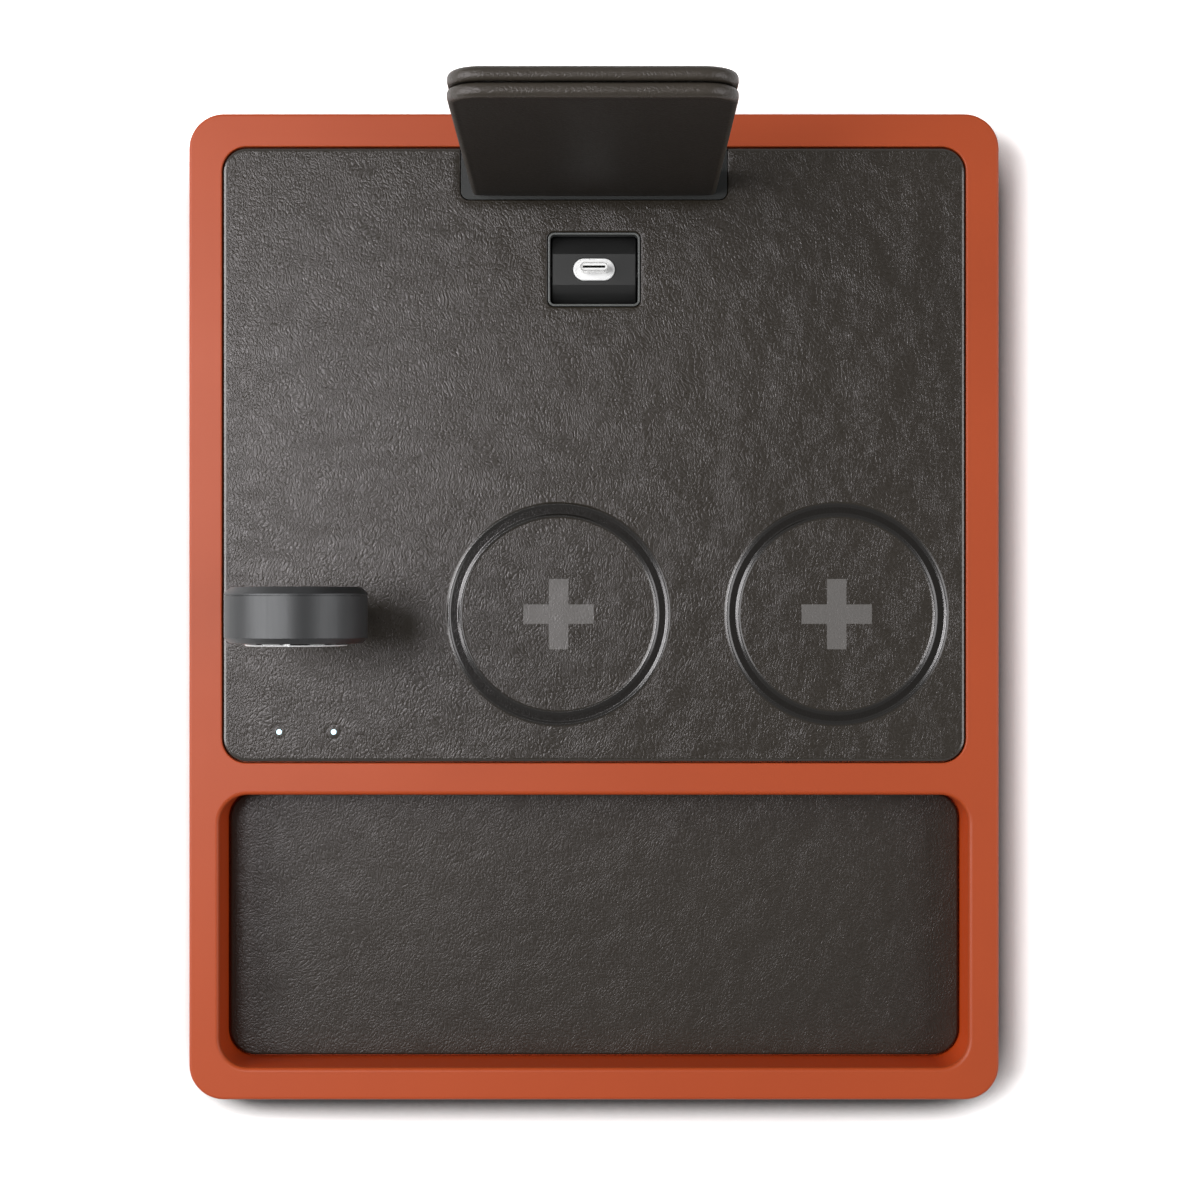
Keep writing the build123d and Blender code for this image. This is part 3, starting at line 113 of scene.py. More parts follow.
# %% Helpers for shader nodes
def add_node(tree, kind, inputs=None, **settings):
    """Adds a node of this kind, sets its settings, and fills or links its inputs by name or number."""
    made = tree.nodes.new(kind)
    for name, value in settings.items():
        setattr(made, name, value)
    for name, value in (inputs or {}).items():
        if isinstance(value, bpy.types.NodeSocket):
            tree.links.new(value, made.inputs[name])
        else:
            made.inputs[name].default_value = value
    return made


def math_node(tree, operation, first, second=0.0, third=0.0, clamp=False):
    """One step of arithmetic on numbers or sockets; gives its output socket."""
    inputs = {0: first, 1: second, 2: third}
    return add_node(tree, "ShaderNodeMath", inputs, operation=operation, use_clamp=clamp).outputs[0]


def vector_node(tree, operation, first, second=(0.0, 0.0, 0.0), scale=None):
    """One step of arithmetic on vectors; gives a vector, or a number where the operation measures."""
    inputs = {0: first, 1: second} if scale is None else {0: first, "Scale": scale}
    measures = operation in ("LENGTH", "DISTANCE", "DOT_PRODUCT")
    made = add_node(tree, "ShaderNodeVectorMath", inputs, operation=operation)
    return made.outputs["Value" if measures else "Vector"]


def along_axes(tree, vector):
    """The three numbers of a vector."""
    return add_node(tree, "ShaderNodeSeparateXYZ", {0: vector}).outputs


def noise(tree, place, scale, detail=2.0, roughness=0.5, output=0):
    """Fractal noise at this many features a metre: output 0 is one number from 0 to 1, output 1 three."""
    inputs = {"Vector": place, "Scale": scale, "Detail": detail, "Roughness": roughness}
    return add_node(tree, "ShaderNodeTexNoise", inputs, noise_dimensions="3D").outputs[output]


def ramp(tree, value, low, high, to_low=0.0, to_high=1.0):
    """Maps low..high smoothly to to_low..to_high, and holds the ends."""
    inputs = {"Value": value, "From Min": low, "From Max": high, "To Min": to_low, "To Max": to_high}
    return add_node(tree, "ShaderNodeMapRange", inputs, interpolation_type="SMOOTHSTEP").outputs[0]


def step_down(tree, value, edge, blur):
    """1 below edge - blur, 0 above edge + blur, and smooth between."""
    return ramp(tree, value, edge - blur, edge + blur, 1.0, 0.0)


def mix(tree, share, first, second, kind="RGBA"):
    """Blends two colours or vectors; share 0 gives the first and 1 the second."""
    mixer = add_node(tree, "ShaderNodeMix", data_type=kind)
    first_input, output = {"RGBA": (6, 2), "VECTOR": (4, 1)}[kind]
    for number, value in ((0, share), (first_input, first), (first_input + 1, second)):
        if isinstance(value, bpy.types.NodeSocket):
            tree.links.new(value, mixer.inputs[number])
        else:
            mixer.inputs[number].default_value = value
    return mixer.outputs[output]


print("node helpers ready")

# %% [markdown]
# Every pattern is a shader group: it takes a place on the piece, and gives a colour,
# a roughness, a height, and polish, which says where a coat comes out. All patterns
# share these four, so that any overlay can be laid over any pattern. The shader
# itself stays in the material, where the export can read it.

# %% Helpers for shader groups
COLOR, NUMBER, VECTOR = "NodeSocketColor", "NodeSocketFloat", "NodeSocketVector"
RESULTS = [("Color", COLOR), ("Roughness", NUMBER), ("Height", NUMBER), ("Polish", NUMBER)]


def new_group(name, inputs, outputs):
    """Opens a shader group with these sockets; gives its tree, its inputs' sockets and its end node."""
    tree = bpy.data.node_groups.new(name, "ShaderNodeTree")
    for label, kind, *value in inputs:
        socket = tree.interface.new_socket(label, in_out="INPUT", socket_type=kind)
        if value:
            socket.default_value = value[0]
    for label, kind in outputs:
        tree.interface.new_socket(label, in_out="OUTPUT", socket_type=kind)
    return tree, add_node(tree, "NodeGroupInput").outputs, add_node(tree, "NodeGroupOutput")


def new_pattern(name, inputs):
    """Opens a group that takes a place and these inputs, and gives Color, Roughness, Height and Polish."""
    return new_group(name, [("Place", VECTOR)] + inputs, RESULTS)


def shine_about(tree, gloss, pattern, spread):
    """Roughness that follows a 0 to 1 pattern over this spread, with gloss in its middle."""
    return math_node(tree, "MULTIPLY_ADD", pattern, spread, math_node(tree, "SUBTRACT", gloss, spread / 2))


def finish_pattern(tree, end, color, roughness, height, polish=None):
    """Links the results of a pattern to the group's outputs; without polish that one stays 0."""
    for (name, _), value in zip(RESULTS, (color, roughness, height, polish)):
        if value:
            tree.links.new(value, end.inputs[name])
    print("pattern:", tree.name)


print("group helpers ready")

# %% [markdown]
# ## Patterns
#
# Leather is a field of fine creases, longer than they are wide, and a faint net of
# cells under them. Plain noise has no direction and lies too still. So slow noise
# first bends the place, which makes the creases sway, and a stretch makes them long;
# fine noise then gives the creases and a cell pattern the net.

# %% Leather grain
sways_a_metre, sway_reach = 75.0, 9 * MM
patches_a_metre, cell_share, cell_edge = 14.0, 0.55, 0.18
leather_tree, start, end = new_pattern("leather grain", [
    ("Pebble", COLOR, (0.027, 0.0235, 0.019, 1)),
    ("Crease", COLOR, (0.017, 0.015, 0.012, 1)),
    ("Stretch", VECTOR, (1.0, 0.5, 1.0)),
    ("Grain", NUMBER, 1500.0),
    ("Gloss", NUMBER, 0.4),
])
place = start["Place"]
sway = noise(leather_tree, place, sways_a_metre, output=1)
sway = vector_node(leather_tree, "SUBTRACT", sway, (0.5, 0.5, 0.5))
bent = vector_node(leather_tree, "ADD", place, vector_node(leather_tree, "SCALE", sway, scale=sway_reach))
long = vector_node(leather_tree, "MULTIPLY", bent, start["Stretch"])
creases = noise(leather_tree, long, start["Grain"], 2.0, 0.45)
cell_scale = math_node(leather_tree, "MULTIPLY", start["Grain"], cell_share)
cells = add_node(
    leather_tree, "ShaderNodeTexVoronoi", {"Vector": long, "Scale": cell_scale},
    voronoi_dimensions="3D", feature="DISTANCE_TO_EDGE",
).outputs["Distance"]
net = math_node(leather_tree, "MULTIPLY", ramp(leather_tree, cells, 0.0, cell_edge), 0.22)
height = math_node(leather_tree, "ADD", creases, net)
patches = noise(leather_tree, place, patches_a_metre)
hollows = math_node(leather_tree, "MULTIPLY", creases, 0.6)
depth = math_node(leather_tree, "MULTIPLY_ADD", patches, 0.6, hollows, clamp=True)
color = mix(leather_tree, depth, start["Crease"], start["Pebble"])
shine = shine_about(leather_tree, start["Gloss"], creases, 0.16)
finish_pattern(leather_tree, end, color, shine, height)

# %% [markdown]
# The frame, the covers and the small black parts are moulded. Their skin has a fine
# even grain from the mould, and the colour has slow clouds in it. Two noises, one
# fine and one slow, say both, and they do for rubber and pressed board as well.

# %% Moulded plastic, rubber and board fibre
clouds_a_metre = 18.0
moulded_tree, start, end = new_pattern("moulded grain", [
    ("Main", COLOR, (0.5, 0.5, 0.5, 1)),
    ("Shade", COLOR, (0.4, 0.4, 0.4, 1)),
    ("Grain", NUMBER, 3000.0),
    ("Gloss", NUMBER, 0.5),
])
clouds = noise(moulded_tree, start["Place"], clouds_a_metre, 3.0, 0.55)
grain = noise(moulded_tree, start["Place"], start["Grain"], 2.0, 0.6)
cloudy = ramp(moulded_tree, clouds, 0.3, 0.75, 0.0, 0.6)
tint = math_node(moulded_tree, "MULTIPLY_ADD", grain, 0.35, cloudy, clamp=True)
color = mix(moulded_tree, tint, start["Main"], start["Shade"])
shine = shine_about(moulded_tree, start["Gloss"], clouds, 0.08)
finish_pattern(moulded_tree, end, color, shine, grain)

# %% [markdown]
# Turned or drawn metal has fine lines along one direction. Noise on a place that is
# squeezed along that direction gives them, and a slow noise adds faint stains.

# %% Turned or drawn metal
lines_a_metre, stains_a_metre = 1200.0, 60.0
metal_tree, start, end = new_pattern("metal lines", [
    ("Main", COLOR, (0.6, 0.6, 0.6, 1)),
    ("Shade", COLOR, (0.5, 0.5, 0.5, 1)),
    ("Stretch", VECTOR, (1.0, 1.0, 1.0)),
    ("Gloss", NUMBER, 0.35),
])
drawn = vector_node(metal_tree, "MULTIPLY", start["Place"], start["Stretch"])
lines = noise(metal_tree, drawn, lines_a_metre, 3.0, 0.6)
stains = math_node(metal_tree, "MULTIPLY", noise(metal_tree, start["Place"], stains_a_metre), 0.4)
tint = math_node(metal_tree, "MULTIPLY_ADD", lines, 0.6, stains)
color = mix(metal_tree, tint, start["Main"], start["Shade"])
shine = shine_about(metal_tree, start["Gloss"], lines, 0.12)
finish_pattern(metal_tree, end, color, shine, lines)

# %% [markdown]
# A circuit board shows straight copper tracks under its lacquer. Distances counted
# along the axes have square corners, as walks round city blocks do, and folding
# such a distance back and forth draws tracks side by side.

# %% Circuit board tracks
blocks_a_metre = 210.0
board_tree, start, end = new_pattern("board tracks", [
    ("Lacquer", COLOR, (0.012, 0.07, 0.03, 1)),
    ("Track", COLOR, (0.03, 0.16, 0.06, 1)),
    ("Gloss", NUMBER, 0.3),
])
blocks = add_node(
    board_tree, "ShaderNodeTexVoronoi", {"Vector": start["Place"], "Scale": blocks_a_metre},
    voronoi_dimensions="3D", feature="F1", distance="MANHATTAN",
).outputs["Distance"]
tracks = ramp(board_tree, math_node(board_tree, "PINGPONG", blocks, 0.12), 0.05, 0.07)
color = mix(board_tree, tracks, start["Lacquer"], start["Track"])
shine = math_node(board_tree, "MULTIPLY_ADD", tracks, 0.1, start["Gloss"])
finish_pattern(board_tree, end, color, shine, tracks)

# %% [markdown]
# A coil is wire wound flat. From close by its turns are rings about the centre, so
# the sine of the distance to the centre is all that it takes.

# %% Wound wire, in rings about a centre
wound_tree, start, end = new_pattern("wound rings", [
    ("Wire", COLOR, (0.75, 0.30, 0.12, 1)),
    ("Gap", COLOR, (0.18, 0.05, 0.02, 1)),
    ("Turns", NUMBER, 1400.0),
    ("Gloss", NUMBER, 0.3),
])
turns = math_node(wound_tree, "MULTIPLY", vector_node(wound_tree, "LENGTH", start["Place"]), start["Turns"])
wave = math_node(wound_tree, "ABSOLUTE", math_node(wound_tree, "SINE", turns))
color = mix(wound_tree, wave, start["Gap"], start["Wire"])
shine = math_node(wound_tree, "SUBTRACT", start["Gloss"], math_node(wound_tree, "MULTIPLY", wave, 0.08))
finish_pattern(wound_tree, end, color, shine, wave)

# %% [markdown]
# ## Overlays
#
# An overlay is laid over a pattern: it takes the pattern's colour, roughness and
# height, and changes them only where it has something to say.
#
# Where the leather is pressed it is burnished: smooth and dark, and polished on the
# two raised lips, which a thin coat brings out. A plain cross, printed in grey,
# shows where a device goes over each coil.

# %% Burnished rings and centre marks
OVERLAY = [
    ("Color", COLOR, (0, 0, 0, 1)),
    ("Roughness", NUMBER, 0.5),
    ("Height", NUMBER, 0.5),
    ("Polish", NUMBER, 0.0),
]
ring_radius, lip_offset = 31.1 * MM, 1.75 * MM
mark_reach, mark_half, mark_blur = 10.5 * MM, 2.9 * MM, 0.08 * MM
mark_tree, start, end = new_pattern("burnished rings and centre marks", OVERLAY + [
    ("Print", COLOR, (0.125, 0.118, 0.112, 1)),
    ("Burnish", COLOR, (0.010, 0.009, 0.0075, 1)),
])
across = vector_node(mark_tree, "MULTIPLY", start["Place"], (1.0, 1.0, 0.0))
off = math_node(mark_tree, "SUBTRACT", vector_node(mark_tree, "LENGTH", across), ring_radius)
off = math_node(mark_tree, "ABSOLUTE", off)
trough = step_down(mark_tree, off, lip_offset + 0.3 * MM, 0.35 * MM)
smooth = step_down(mark_tree, off, lip_offset + 0.6 * MM, 0.3 * MM)
sides = along_axes(mark_tree, vector_node(mark_tree, "ABSOLUTE", across))
longer = math_node(mark_tree, "MAXIMUM", sides[0], sides[1])
shorter = math_node(mark_tree, "MINIMUM", sides[0], sides[1])
within_reach = step_down(mark_tree, longer, mark_reach, mark_blur)
cross = math_node(mark_tree, "MULTIPLY", within_reach, step_down(mark_tree, shorter, mark_half, mark_blur))
color = mix(mark_tree, trough, start["Color"], start["Burnish"])
color = mix(mark_tree, cross, color, start["Print"])
shine = math_node(mark_tree, "MULTIPLY_ADD", smooth, -0.13, start["Roughness"])
lips = math_node(mark_tree, "SUBTRACT", smooth, step_down(mark_tree, off, lip_offset - 0.85 * MM, 0.2 * MM))
polish = math_node(mark_tree, "ADD", lips, start["Polish"])
calm = math_node(mark_tree, "MULTIPLY_ADD", smooth, 0.8, math_node(mark_tree, "MULTIPLY", cross, 0.5))
calm = math_node(mark_tree, "SUBTRACT", 1.0, calm)
grain_level = 0.6
height = math_node(mark_tree, "SUBTRACT", start["Height"], grain_level)
height = math_node(mark_tree, "MULTIPLY_ADD", height, calm, grain_level)
finish_pattern(mark_tree, end, color, shine, height, polish)

# %% [markdown]
# On the backrest the rolled edge is painted lighter, a painted highlight where it
# turns to the light, and the upright face is painted darker, a painted shade. The
# deck's bevelled edge is painted lighter too, a painted highlight, and it is polished
# by hands. One overlay serves both: it measures how far a point lies out from the
# face's hub, and tells the face from the edge by that.

# %% Painted light on a leather edge and painted shade on its face
edge_tree, start, end = new_pattern("painted lit edge and shaded face", OVERLAY + [
    ("Stretched", COLOR, (0.062, 0.052, 0.041, 1)),
    ("Face", COLOR, (0.013, 0.0105, 0.0085, 1)),
    ("Hub", VECTOR, (0.0, 0.0, 0.0)),
    ("From", NUMBER, 0.007),
    ("To", NUMBER, 0.008),
    ("Face Share", NUMBER, 0.45),
    ("Edge Share", NUMBER, 0.45),
    ("Dull", NUMBER, 0.0),
    ("Bright", NUMBER, 0.0),
])
off = vector_node(edge_tree, "SUBTRACT", vector_node(edge_tree, "ABSOLUTE", start["Place"]), start["Hub"])
reach = vector_node(edge_tree, "LENGTH", vector_node(edge_tree, "MAXIMUM", off))
outer = ramp(edge_tree, reach, start["From"], start["To"])
inner = math_node(edge_tree, "SUBTRACT", 1.0, outer)
face_share = math_node(edge_tree, "MULTIPLY", inner, start["Face Share"])
edge_share = math_node(edge_tree, "MULTIPLY", outer, start["Edge Share"])
color = mix(edge_tree, face_share, start["Color"], start["Face"])
color = mix(edge_tree, edge_share, color, start["Stretched"])
shine = math_node(edge_tree, "MULTIPLY_ADD", inner, start["Dull"], start["Roughness"])
bright = math_node(edge_tree, "MULTIPLY", outer, start["Bright"])
shine = math_node(edge_tree, "MULTIPLY_ADD", bright, -0.16, shine)
polish = math_node(edge_tree, "ADD", bright, start["Polish"])
finish_pattern(edge_tree, end, color, shine, start["Height"], polish)

# %% [markdown]
# The walls of the tray see each other, and their colour comes back deeper and
# duller than on the rim. The light paths give some of that; an overlay that starts
# just under the rim and holds inside the tray gives the rest.

# %% Deeper colour inside the tray
well_tree, start, end = new_pattern("deeper inside", OVERLAY + [
    ("Deep", COLOR, (0.56, 0.062, 0.004, 1)),
    ("Reach", VECTOR, (0.1, 0.1, 1.0)),
])
inset = vector_node(well_tree, "SUBTRACT", start["Reach"], vector_node(well_tree, "ABSOLUTE", start["Place"]))
inset = along_axes(well_tree, inset)
within = ramp(well_tree, math_node(well_tree, "MINIMUM", inset[0], inset[1]), 0.0, 1.0 * MM)
level = along_axes(well_tree, start["Place"])[2]
share = math_node(well_tree, "MULTIPLY", within, step_down(well_tree, level, -1.6 * MM, 1.2 * MM))
color = mix(well_tree, share, start["Color"], start["Deep"])
shine = math_node(well_tree, "MULTIPLY_ADD", share, 0.12, start["Roughness"])
finish_pattern(well_tree, end, color, shine, start["Height"])

# %% [markdown]
# The plug's tongue is pale at its end face and painted dark inside its slot, a
# painted shade for the recess. The white puck is painted dark at its foot, a painted
# shade where its rim goes down into the watch head. One overlay darkens what lies
# below a level, measured along an axis, and outside a clear core.

# %% Painted shade in a slot under a pale face
slot_tree, start, end = new_pattern("painted slot shade", OVERLAY + [
    ("Inside", COLOR, (0.008, 0.008, 0.008, 1)),
    ("Along", VECTOR, (0.0, 0.0, 1.0)),
    ("Clear", NUMBER, -0.001),
])
level = vector_node(slot_tree, "DOT_PRODUCT", start["Place"], start["Along"])
rise = vector_node(slot_tree, "SCALE", start["Along"], scale=level)
aside = vector_node(slot_tree, "DISTANCE", start["Place"], rise)
outside = ramp(slot_tree, math_node(slot_tree, "SUBTRACT", aside, start["Clear"]), 0.0, 0.2 * MM)
share = math_node(slot_tree, "MULTIPLY", outside, step_down(slot_tree, level, -0.08 * MM, 0.03 * MM))
color = mix(slot_tree, share, start["Color"], start["Inside"])
finish_pattern(slot_tree, end, color, start["Roughness"], start["Height"])

# %% [markdown]
# A turned barrel shows one clean band of light along its length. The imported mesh
# has uneven normals near its bevels, which would bend the band, and that mesh is
# left alone. The round normal is simple to say, though: away from the axis. So a
# group puts it in place of the mesh's own wherever a point lies on the barrel.

# %% Round normals for a turned barrel
turned_inputs = [("Place", VECTOR), ("Radius", NUMBER), ("Normal", VECTOR)]
turned_tree, start, end = new_group("turned barrel", turned_inputs, [("Normal", VECTOR)])
spoke = vector_node(turned_tree, "MULTIPLY", start["Place"], (1.0, 0.0, 1.0))
outward = add_node(
    turned_tree, "ShaderNodeVectorTransform", {0: vector_node(turned_tree, "NORMALIZE", spoke)},
    vector_type="NORMAL", convert_from="OBJECT", convert_to="WORLD",
).outputs[0]
depth = math_node(turned_tree, "SUBTRACT", start["Radius"], vector_node(turned_tree, "LENGTH", spoke))
on_barrel = ramp(turned_tree, depth, 0.010 * MM, 0.045 * MM, 1.0, 0.0)
blended = mix(turned_tree, on_barrel, start["Normal"], outward, kind="VECTOR")
turned_tree.links.new(vector_node(turned_tree, "NORMALIZE", blended), end.inputs["Normal"])
print("normals:", turned_tree.name)

# %% [markdown]
# ## Materials
#
# A material puts one pattern on a shader: colour and roughness go in directly,
# the height through a Bump node. What is the same all over, such as metalness
# or the strength of a glow, is written on the shader itself. Overlays are laid
# over the pattern one after the other, each about its own centre.

# %% A material from a pattern
def measured_from(tree, here, centre):
    """The place on the piece, measured from this centre."""
    back = tuple(-c for c in centre)
    return add_node(tree, "ShaderNodeMapping", {"Vector": here, "Location": back}).outputs[0]


def make_material(name, pattern, bump, values, centre=(0, 0, 0), overlays=(), turned=None, **constants):
    """Principled shader fed by a pattern of this tree; bump is how deep its height is, in metres.

    overlays = (tree, centre, own values) are laid over it in turn.
    turned = (place, radius) smooths a barrel of that radius about Y through place.
    A coat's roughness given without its weight puts the coat where the pattern says polish."""
    material = bpy.data.materials.new(name)
    material.use_nodes = True
    tree = material.node_tree
    shader = tree.nodes["Principled BSDF"]
    here = add_node(tree, "ShaderNodeTexCoord").outputs["Object"]
    values = {"Place": measured_from(tree, here, centre)} | values
    result = add_node(tree, "ShaderNodeGroup", values, node_tree=pattern).outputs
    for overlay, overlay_centre, own_values in overlays:
        values = {label: result[label] for label, _ in RESULTS} | own_values
        values["Place"] = measured_from(tree, here, overlay_centre)
        result = add_node(tree, "ShaderNodeGroup", values, node_tree=overlay).outputs
    relief = add_node(tree, "ShaderNodeBump", {"Height": result["Height"], "Distance": bump, "Strength": 1.0})
    if turned:
        axis_place, radius = turned
        own_normal = add_node(tree, "ShaderNodeNewGeometry").outputs["Normal"]
        values = {"Place": measured_from(tree, here, axis_place), "Radius": radius, "Normal": own_normal}
        round_normal = add_node(tree, "ShaderNodeGroup", values, node_tree=turned_tree).outputs["Normal"]
        tree.links.new(round_normal, relief.inputs["Normal"])
    tree.links.new(result["Color"], shader.inputs["Base Color"])
    tree.links.new(result["Roughness"], shader.inputs["Roughness"])
    tree.links.new(relief.outputs[0], shader.inputs["Normal"])
    if "Coat_Roughness" in constants and "Coat_Weight" not in constants:
        tree.links.new(result["Polish"], shader.inputs["Coat Weight"])
    for label, value in constants.items():
        shader.inputs[label.replace("_", " ")].default_value = value
    return material


print("material helper ready")

# %% [markdown]
# Most finishes are nearly grey, and a pattern with a centre needs the middle of its
# piece. Two small helpers give these.

# %% Greys and centres
def grey(level, warm=0.0):
    """A near-neutral colour of this level; warm shifts it a little to red."""
    return (level * (1 + warm), level, level * (1 - warm), 1)


def middle(name):
    """Centre of a node's box."""
    low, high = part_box(name)
    return (low + high) / 2


print("greys and centres ready")

# %% [markdown]
# ## The leather
#
# The same hide covers the deck, the tray and the backrest's pads, with its creases
# drawn out another way on each. Its reflections are a hair pink, as on waxed leather.
# The deck has the rings, the marks and the bevelled edge laid over it, and the coat
# comes out where hands and the press have polished it: on the ring lips and the edge.

# %% Leather hides
leather = {"Pebble": (0.0262, 0.0213, 0.0149, 1), "Crease": (0.0174, 0.0141, 0.0098, 1)}
leather_shine = (1.0, 0.955, 0.985, 1)
tray_look = leather | {"Stretch": (1.0, 0.8, 1.0), "Grain": 1650.0, "Gloss": 0.352}
tray_hide = make_material(
    "tray_leather_hide", leather_tree, 0.100 * MM, tray_look, Specular_Tint=leather_shine)

pad_width, pad_height, pad_corner, pad_thick = 73 * MM, 133 * MM, 9 * MM, 3.95 * MM
pad_below_deck = 40 * MM
pad_middle = (0.0, 0.0, deck_top + (pad_height - pad_below_deck) / 2)
# On the pads the rolled edge gets painted light, and the upright face gets painted shade.
pad_edge = {
    "Hub": (pad_width / 2 - pad_corner, 1.0, (pad_height + pad_below_deck) / 2 - pad_corner),
    "From": pad_corner - 1.9 * MM, "To": pad_corner - 1.1 * MM, "Dull": 0.10,
}
pad_look = leather | {"Stretch": (0.8, 0.9, 0.9), "Grain": 1500.0, "Gloss": 0.37}
pad_hide = make_material(
    "pad_leather_hide", leather_tree, 0.115 * MM, pad_look,
    overlays=[(edge_tree, pad_middle, pad_edge)], Specular_Tint=leather_shine,
)

deck_corner = 6.9 * MM
deck_low, deck_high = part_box("deck_leather")
# The deck's bevel is painted lighter all round, a painted highlight.
deck_edge = {
    "Hub": ((deck_high.x - deck_low.x) / 2 - deck_corner, (deck_high.y - deck_low.y) / 2 - deck_corner, 1.0),
    "From": deck_corner - 0.85 * MM, "To": deck_corner - 0.6 * MM,
    "Stretched": (0.060, 0.056, 0.052, 1), "Face Share": 0.0, "Bright": 1.0,
}
deck_look = leather | {"Stretch": (1.0, 0.62, 1.0), "Grain": 1800.0, "Gloss": 0.300}
deck_overlays = [(mark_tree, middle(name), {}) for name in ("coil_left", "coil_right")]
deck_overlays += [(edge_tree, middle("deck_leather"), deck_edge)]
deck_hide = make_material(
    "deck_leather_hide", leather_tree, 0.110 * MM, deck_look,
    overlays=deck_overlays, Coat_Roughness=0.22, Specular_Tint=leather_shine,
)
print("hides:", tray_hide.name, pad_hide.name, deck_hide.name)

# %% [markdown]
# ## Mouldings
#
# The frame is orange with a satin skin, and inside the tray it turns deeper.
# The black parts differ a little in level and gloss, as parts from different
# moulds do, and the white puck has a clear coat.

# %% Moulded finishes
def moulded(name, bump, main, shade, grain, gloss, **more):
    """A moulded finish: bump in mm, its two colours, its grains a metre and its roughness."""
    look = {"Main": main, "Shade": shade, "Grain": grain, "Gloss": gloss}
    return make_material(name, moulded_tree, bump * MM, look, **more)


tray_low, tray_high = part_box("tray_leather")
well = ((tray_low + tray_high) / 2).xy.to_3d()
well.z = deck_top
wall_width = 4 * MM
well_reach = ((tray_high.x - tray_low.x) / 2 + wall_width, (tray_high.y - tray_low.y) / 2 + wall_width, 1.0)
terracotta = moulded(
    "terracotta_moulding", 0.006, (0.435, 0.067, 0.015, 1), (0.395, 0.058, 0.012, 1), 2600.0, 0.42,
    overlays=[(well_tree, well, {"Reach": well_reach})], Specular_IOR_Level=0.38,
)
charcoal = moulded("charcoal_moulding", 0.03, grey(0.022, 0.03), grey(0.016), 1500.0, 0.55)
hidden_black = moulded("black_moulding", 0.02, grey(0.018), grey(0.012), 1800.0, 0.5)
bezel_trim = moulded("bezel_trim", 0.004, (0.105, 0.109, 0.106, 1), (0.090, 0.094, 0.091, 1), 3500.0, 0.40)
foot_trim = moulded(
    "foot_plate_trim", 0.004, (0.011, 0.0125, 0.012, 1), (0.009, 0.010, 0.0095, 1), 3500.0, 0.42)
drum_black = moulded("drum_moulding", 0.003, grey(0.019), grey(0.0145), 3500.0, 0.36)
rubber = moulded("foot_rubber", 0.05, grey(0.03), grey(0.02), 1100.0, 0.85)
fibre = moulded("pressed_board", 0.06, (0.30, 0.19, 0.10, 1), (0.17, 0.10, 0.05, 1), 900.0, 0.8)
white_nylon = moulded("white_nylon", 0.003, grey(0.90), grey(0.86), 2500.0, 0.38)

# Painted shade inside the tongue's slot.
tongue_face = middle("plug_insert")
tongue_face.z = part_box("plug_insert")[1].z
tongue_white = moulded(
    "plug_tongue", 0.002, grey(0.88), grey(0.82), 2500.0, 0.35, overlays=[(slot_tree, tongue_face, {})])

# Painted shade at the puck's foot, where it meets the watch head.
puck_low, puck_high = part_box("watch_puck")
puck_foot = middle("watch_puck")
puck_foot.y = puck_low.y + 0.30 * MM
puck_clear = (puck_high.x - puck_low.x) / 2 - 2.0 * MM
puck_shade = {"Along": (0.0, -1.0, 0.0), "Clear": puck_clear}
puck_gloss = moulded(
    "puck_gloss", 0.001, grey(0.82), grey(0.78), 2500.0, 0.16,
    overlays=[(slot_tree, puck_foot, puck_shade)], Coat_Weight=0.5, Coat_Roughness=0.05,
)
chip_epoxy = moulded("chip_epoxy", 0.02, grey(0.03), grey(0.02), 4000.0, 0.6)
ferrite_grey = moulded("ferrite", 0.02, grey(0.05), grey(0.03), 2500.0, 0.65)
print("moulded finishes ready")

# %% [markdown]
# ## Metals
#
# The screws and pins have no marked direction. The spine and the plug's tip are
# drawn along Z and the watch head is brushed along Y: there the place is squeezed
# along that axis, which draws the pattern out into lines.

# %% Metal finishes
def metal(name, bump, main, shade, gloss, stretch=(1.0, 1.0, 1.0), metallic=1.0, turned=None):
    """A metal finish: bump in mm, its two colours, its roughness and how its lines are drawn out."""
    look = {"Main": main, "Shade": shade, "Stretch": stretch, "Gloss": gloss}
    return make_material(name, metal_tree, bump * MM, look, turned=turned, Metallic=metallic)


screw_steel = metal("screw_steel", 0.004, grey(0.30), grey(0.22), 0.34)
spine_steel = metal("spine_steel", 0.006, grey(0.50), grey(0.40), 0.38, stretch=(1.0, 1.0, 0.05))
plug_steel = metal("plug_steel", 0.002, grey(0.86, 0.01), grey(0.78, 0.01), 0.26, stretch=(1.0, 1.0, 0.1))
can_aluminium = metal("can_aluminium", 0.004, grey(0.75), grey(0.62), 0.3)

shell_low, shell_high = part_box("watch_shell")
barrel_radius = (shell_high.x - shell_low.x) / 2
barrel_axis = ((shell_low.x + shell_high.x) / 2, 0.0, shell_high.z - barrel_radius)
gunmetal = {
    "bump": 0.0015, "main": (0.078, 0.079, 0.081, 1), "shade": (0.066, 0.067, 0.069, 1),
    "gloss": 0.44, "stretch": (1.0, 0.04, 1.0), "metallic": 0.85,
}
anodised = metal("anodised_gunmetal", **gunmetal)
anodised_barrel = metal("anodised_barrel", turned=(barrel_axis, barrel_radius), **gunmetal)
circuit = make_material("circuit_board", board_tree, 0.02 * MM, {"Gloss": 0.28})
print("materials:", len(bpy.data.materials))

# %% [markdown]
# The coils are flat spirals of enamelled wire. Their rings are told from the distance
# to the coil's own centre, so each coil has its own material.
# The light pipes glow a pale blue white, the same all over.

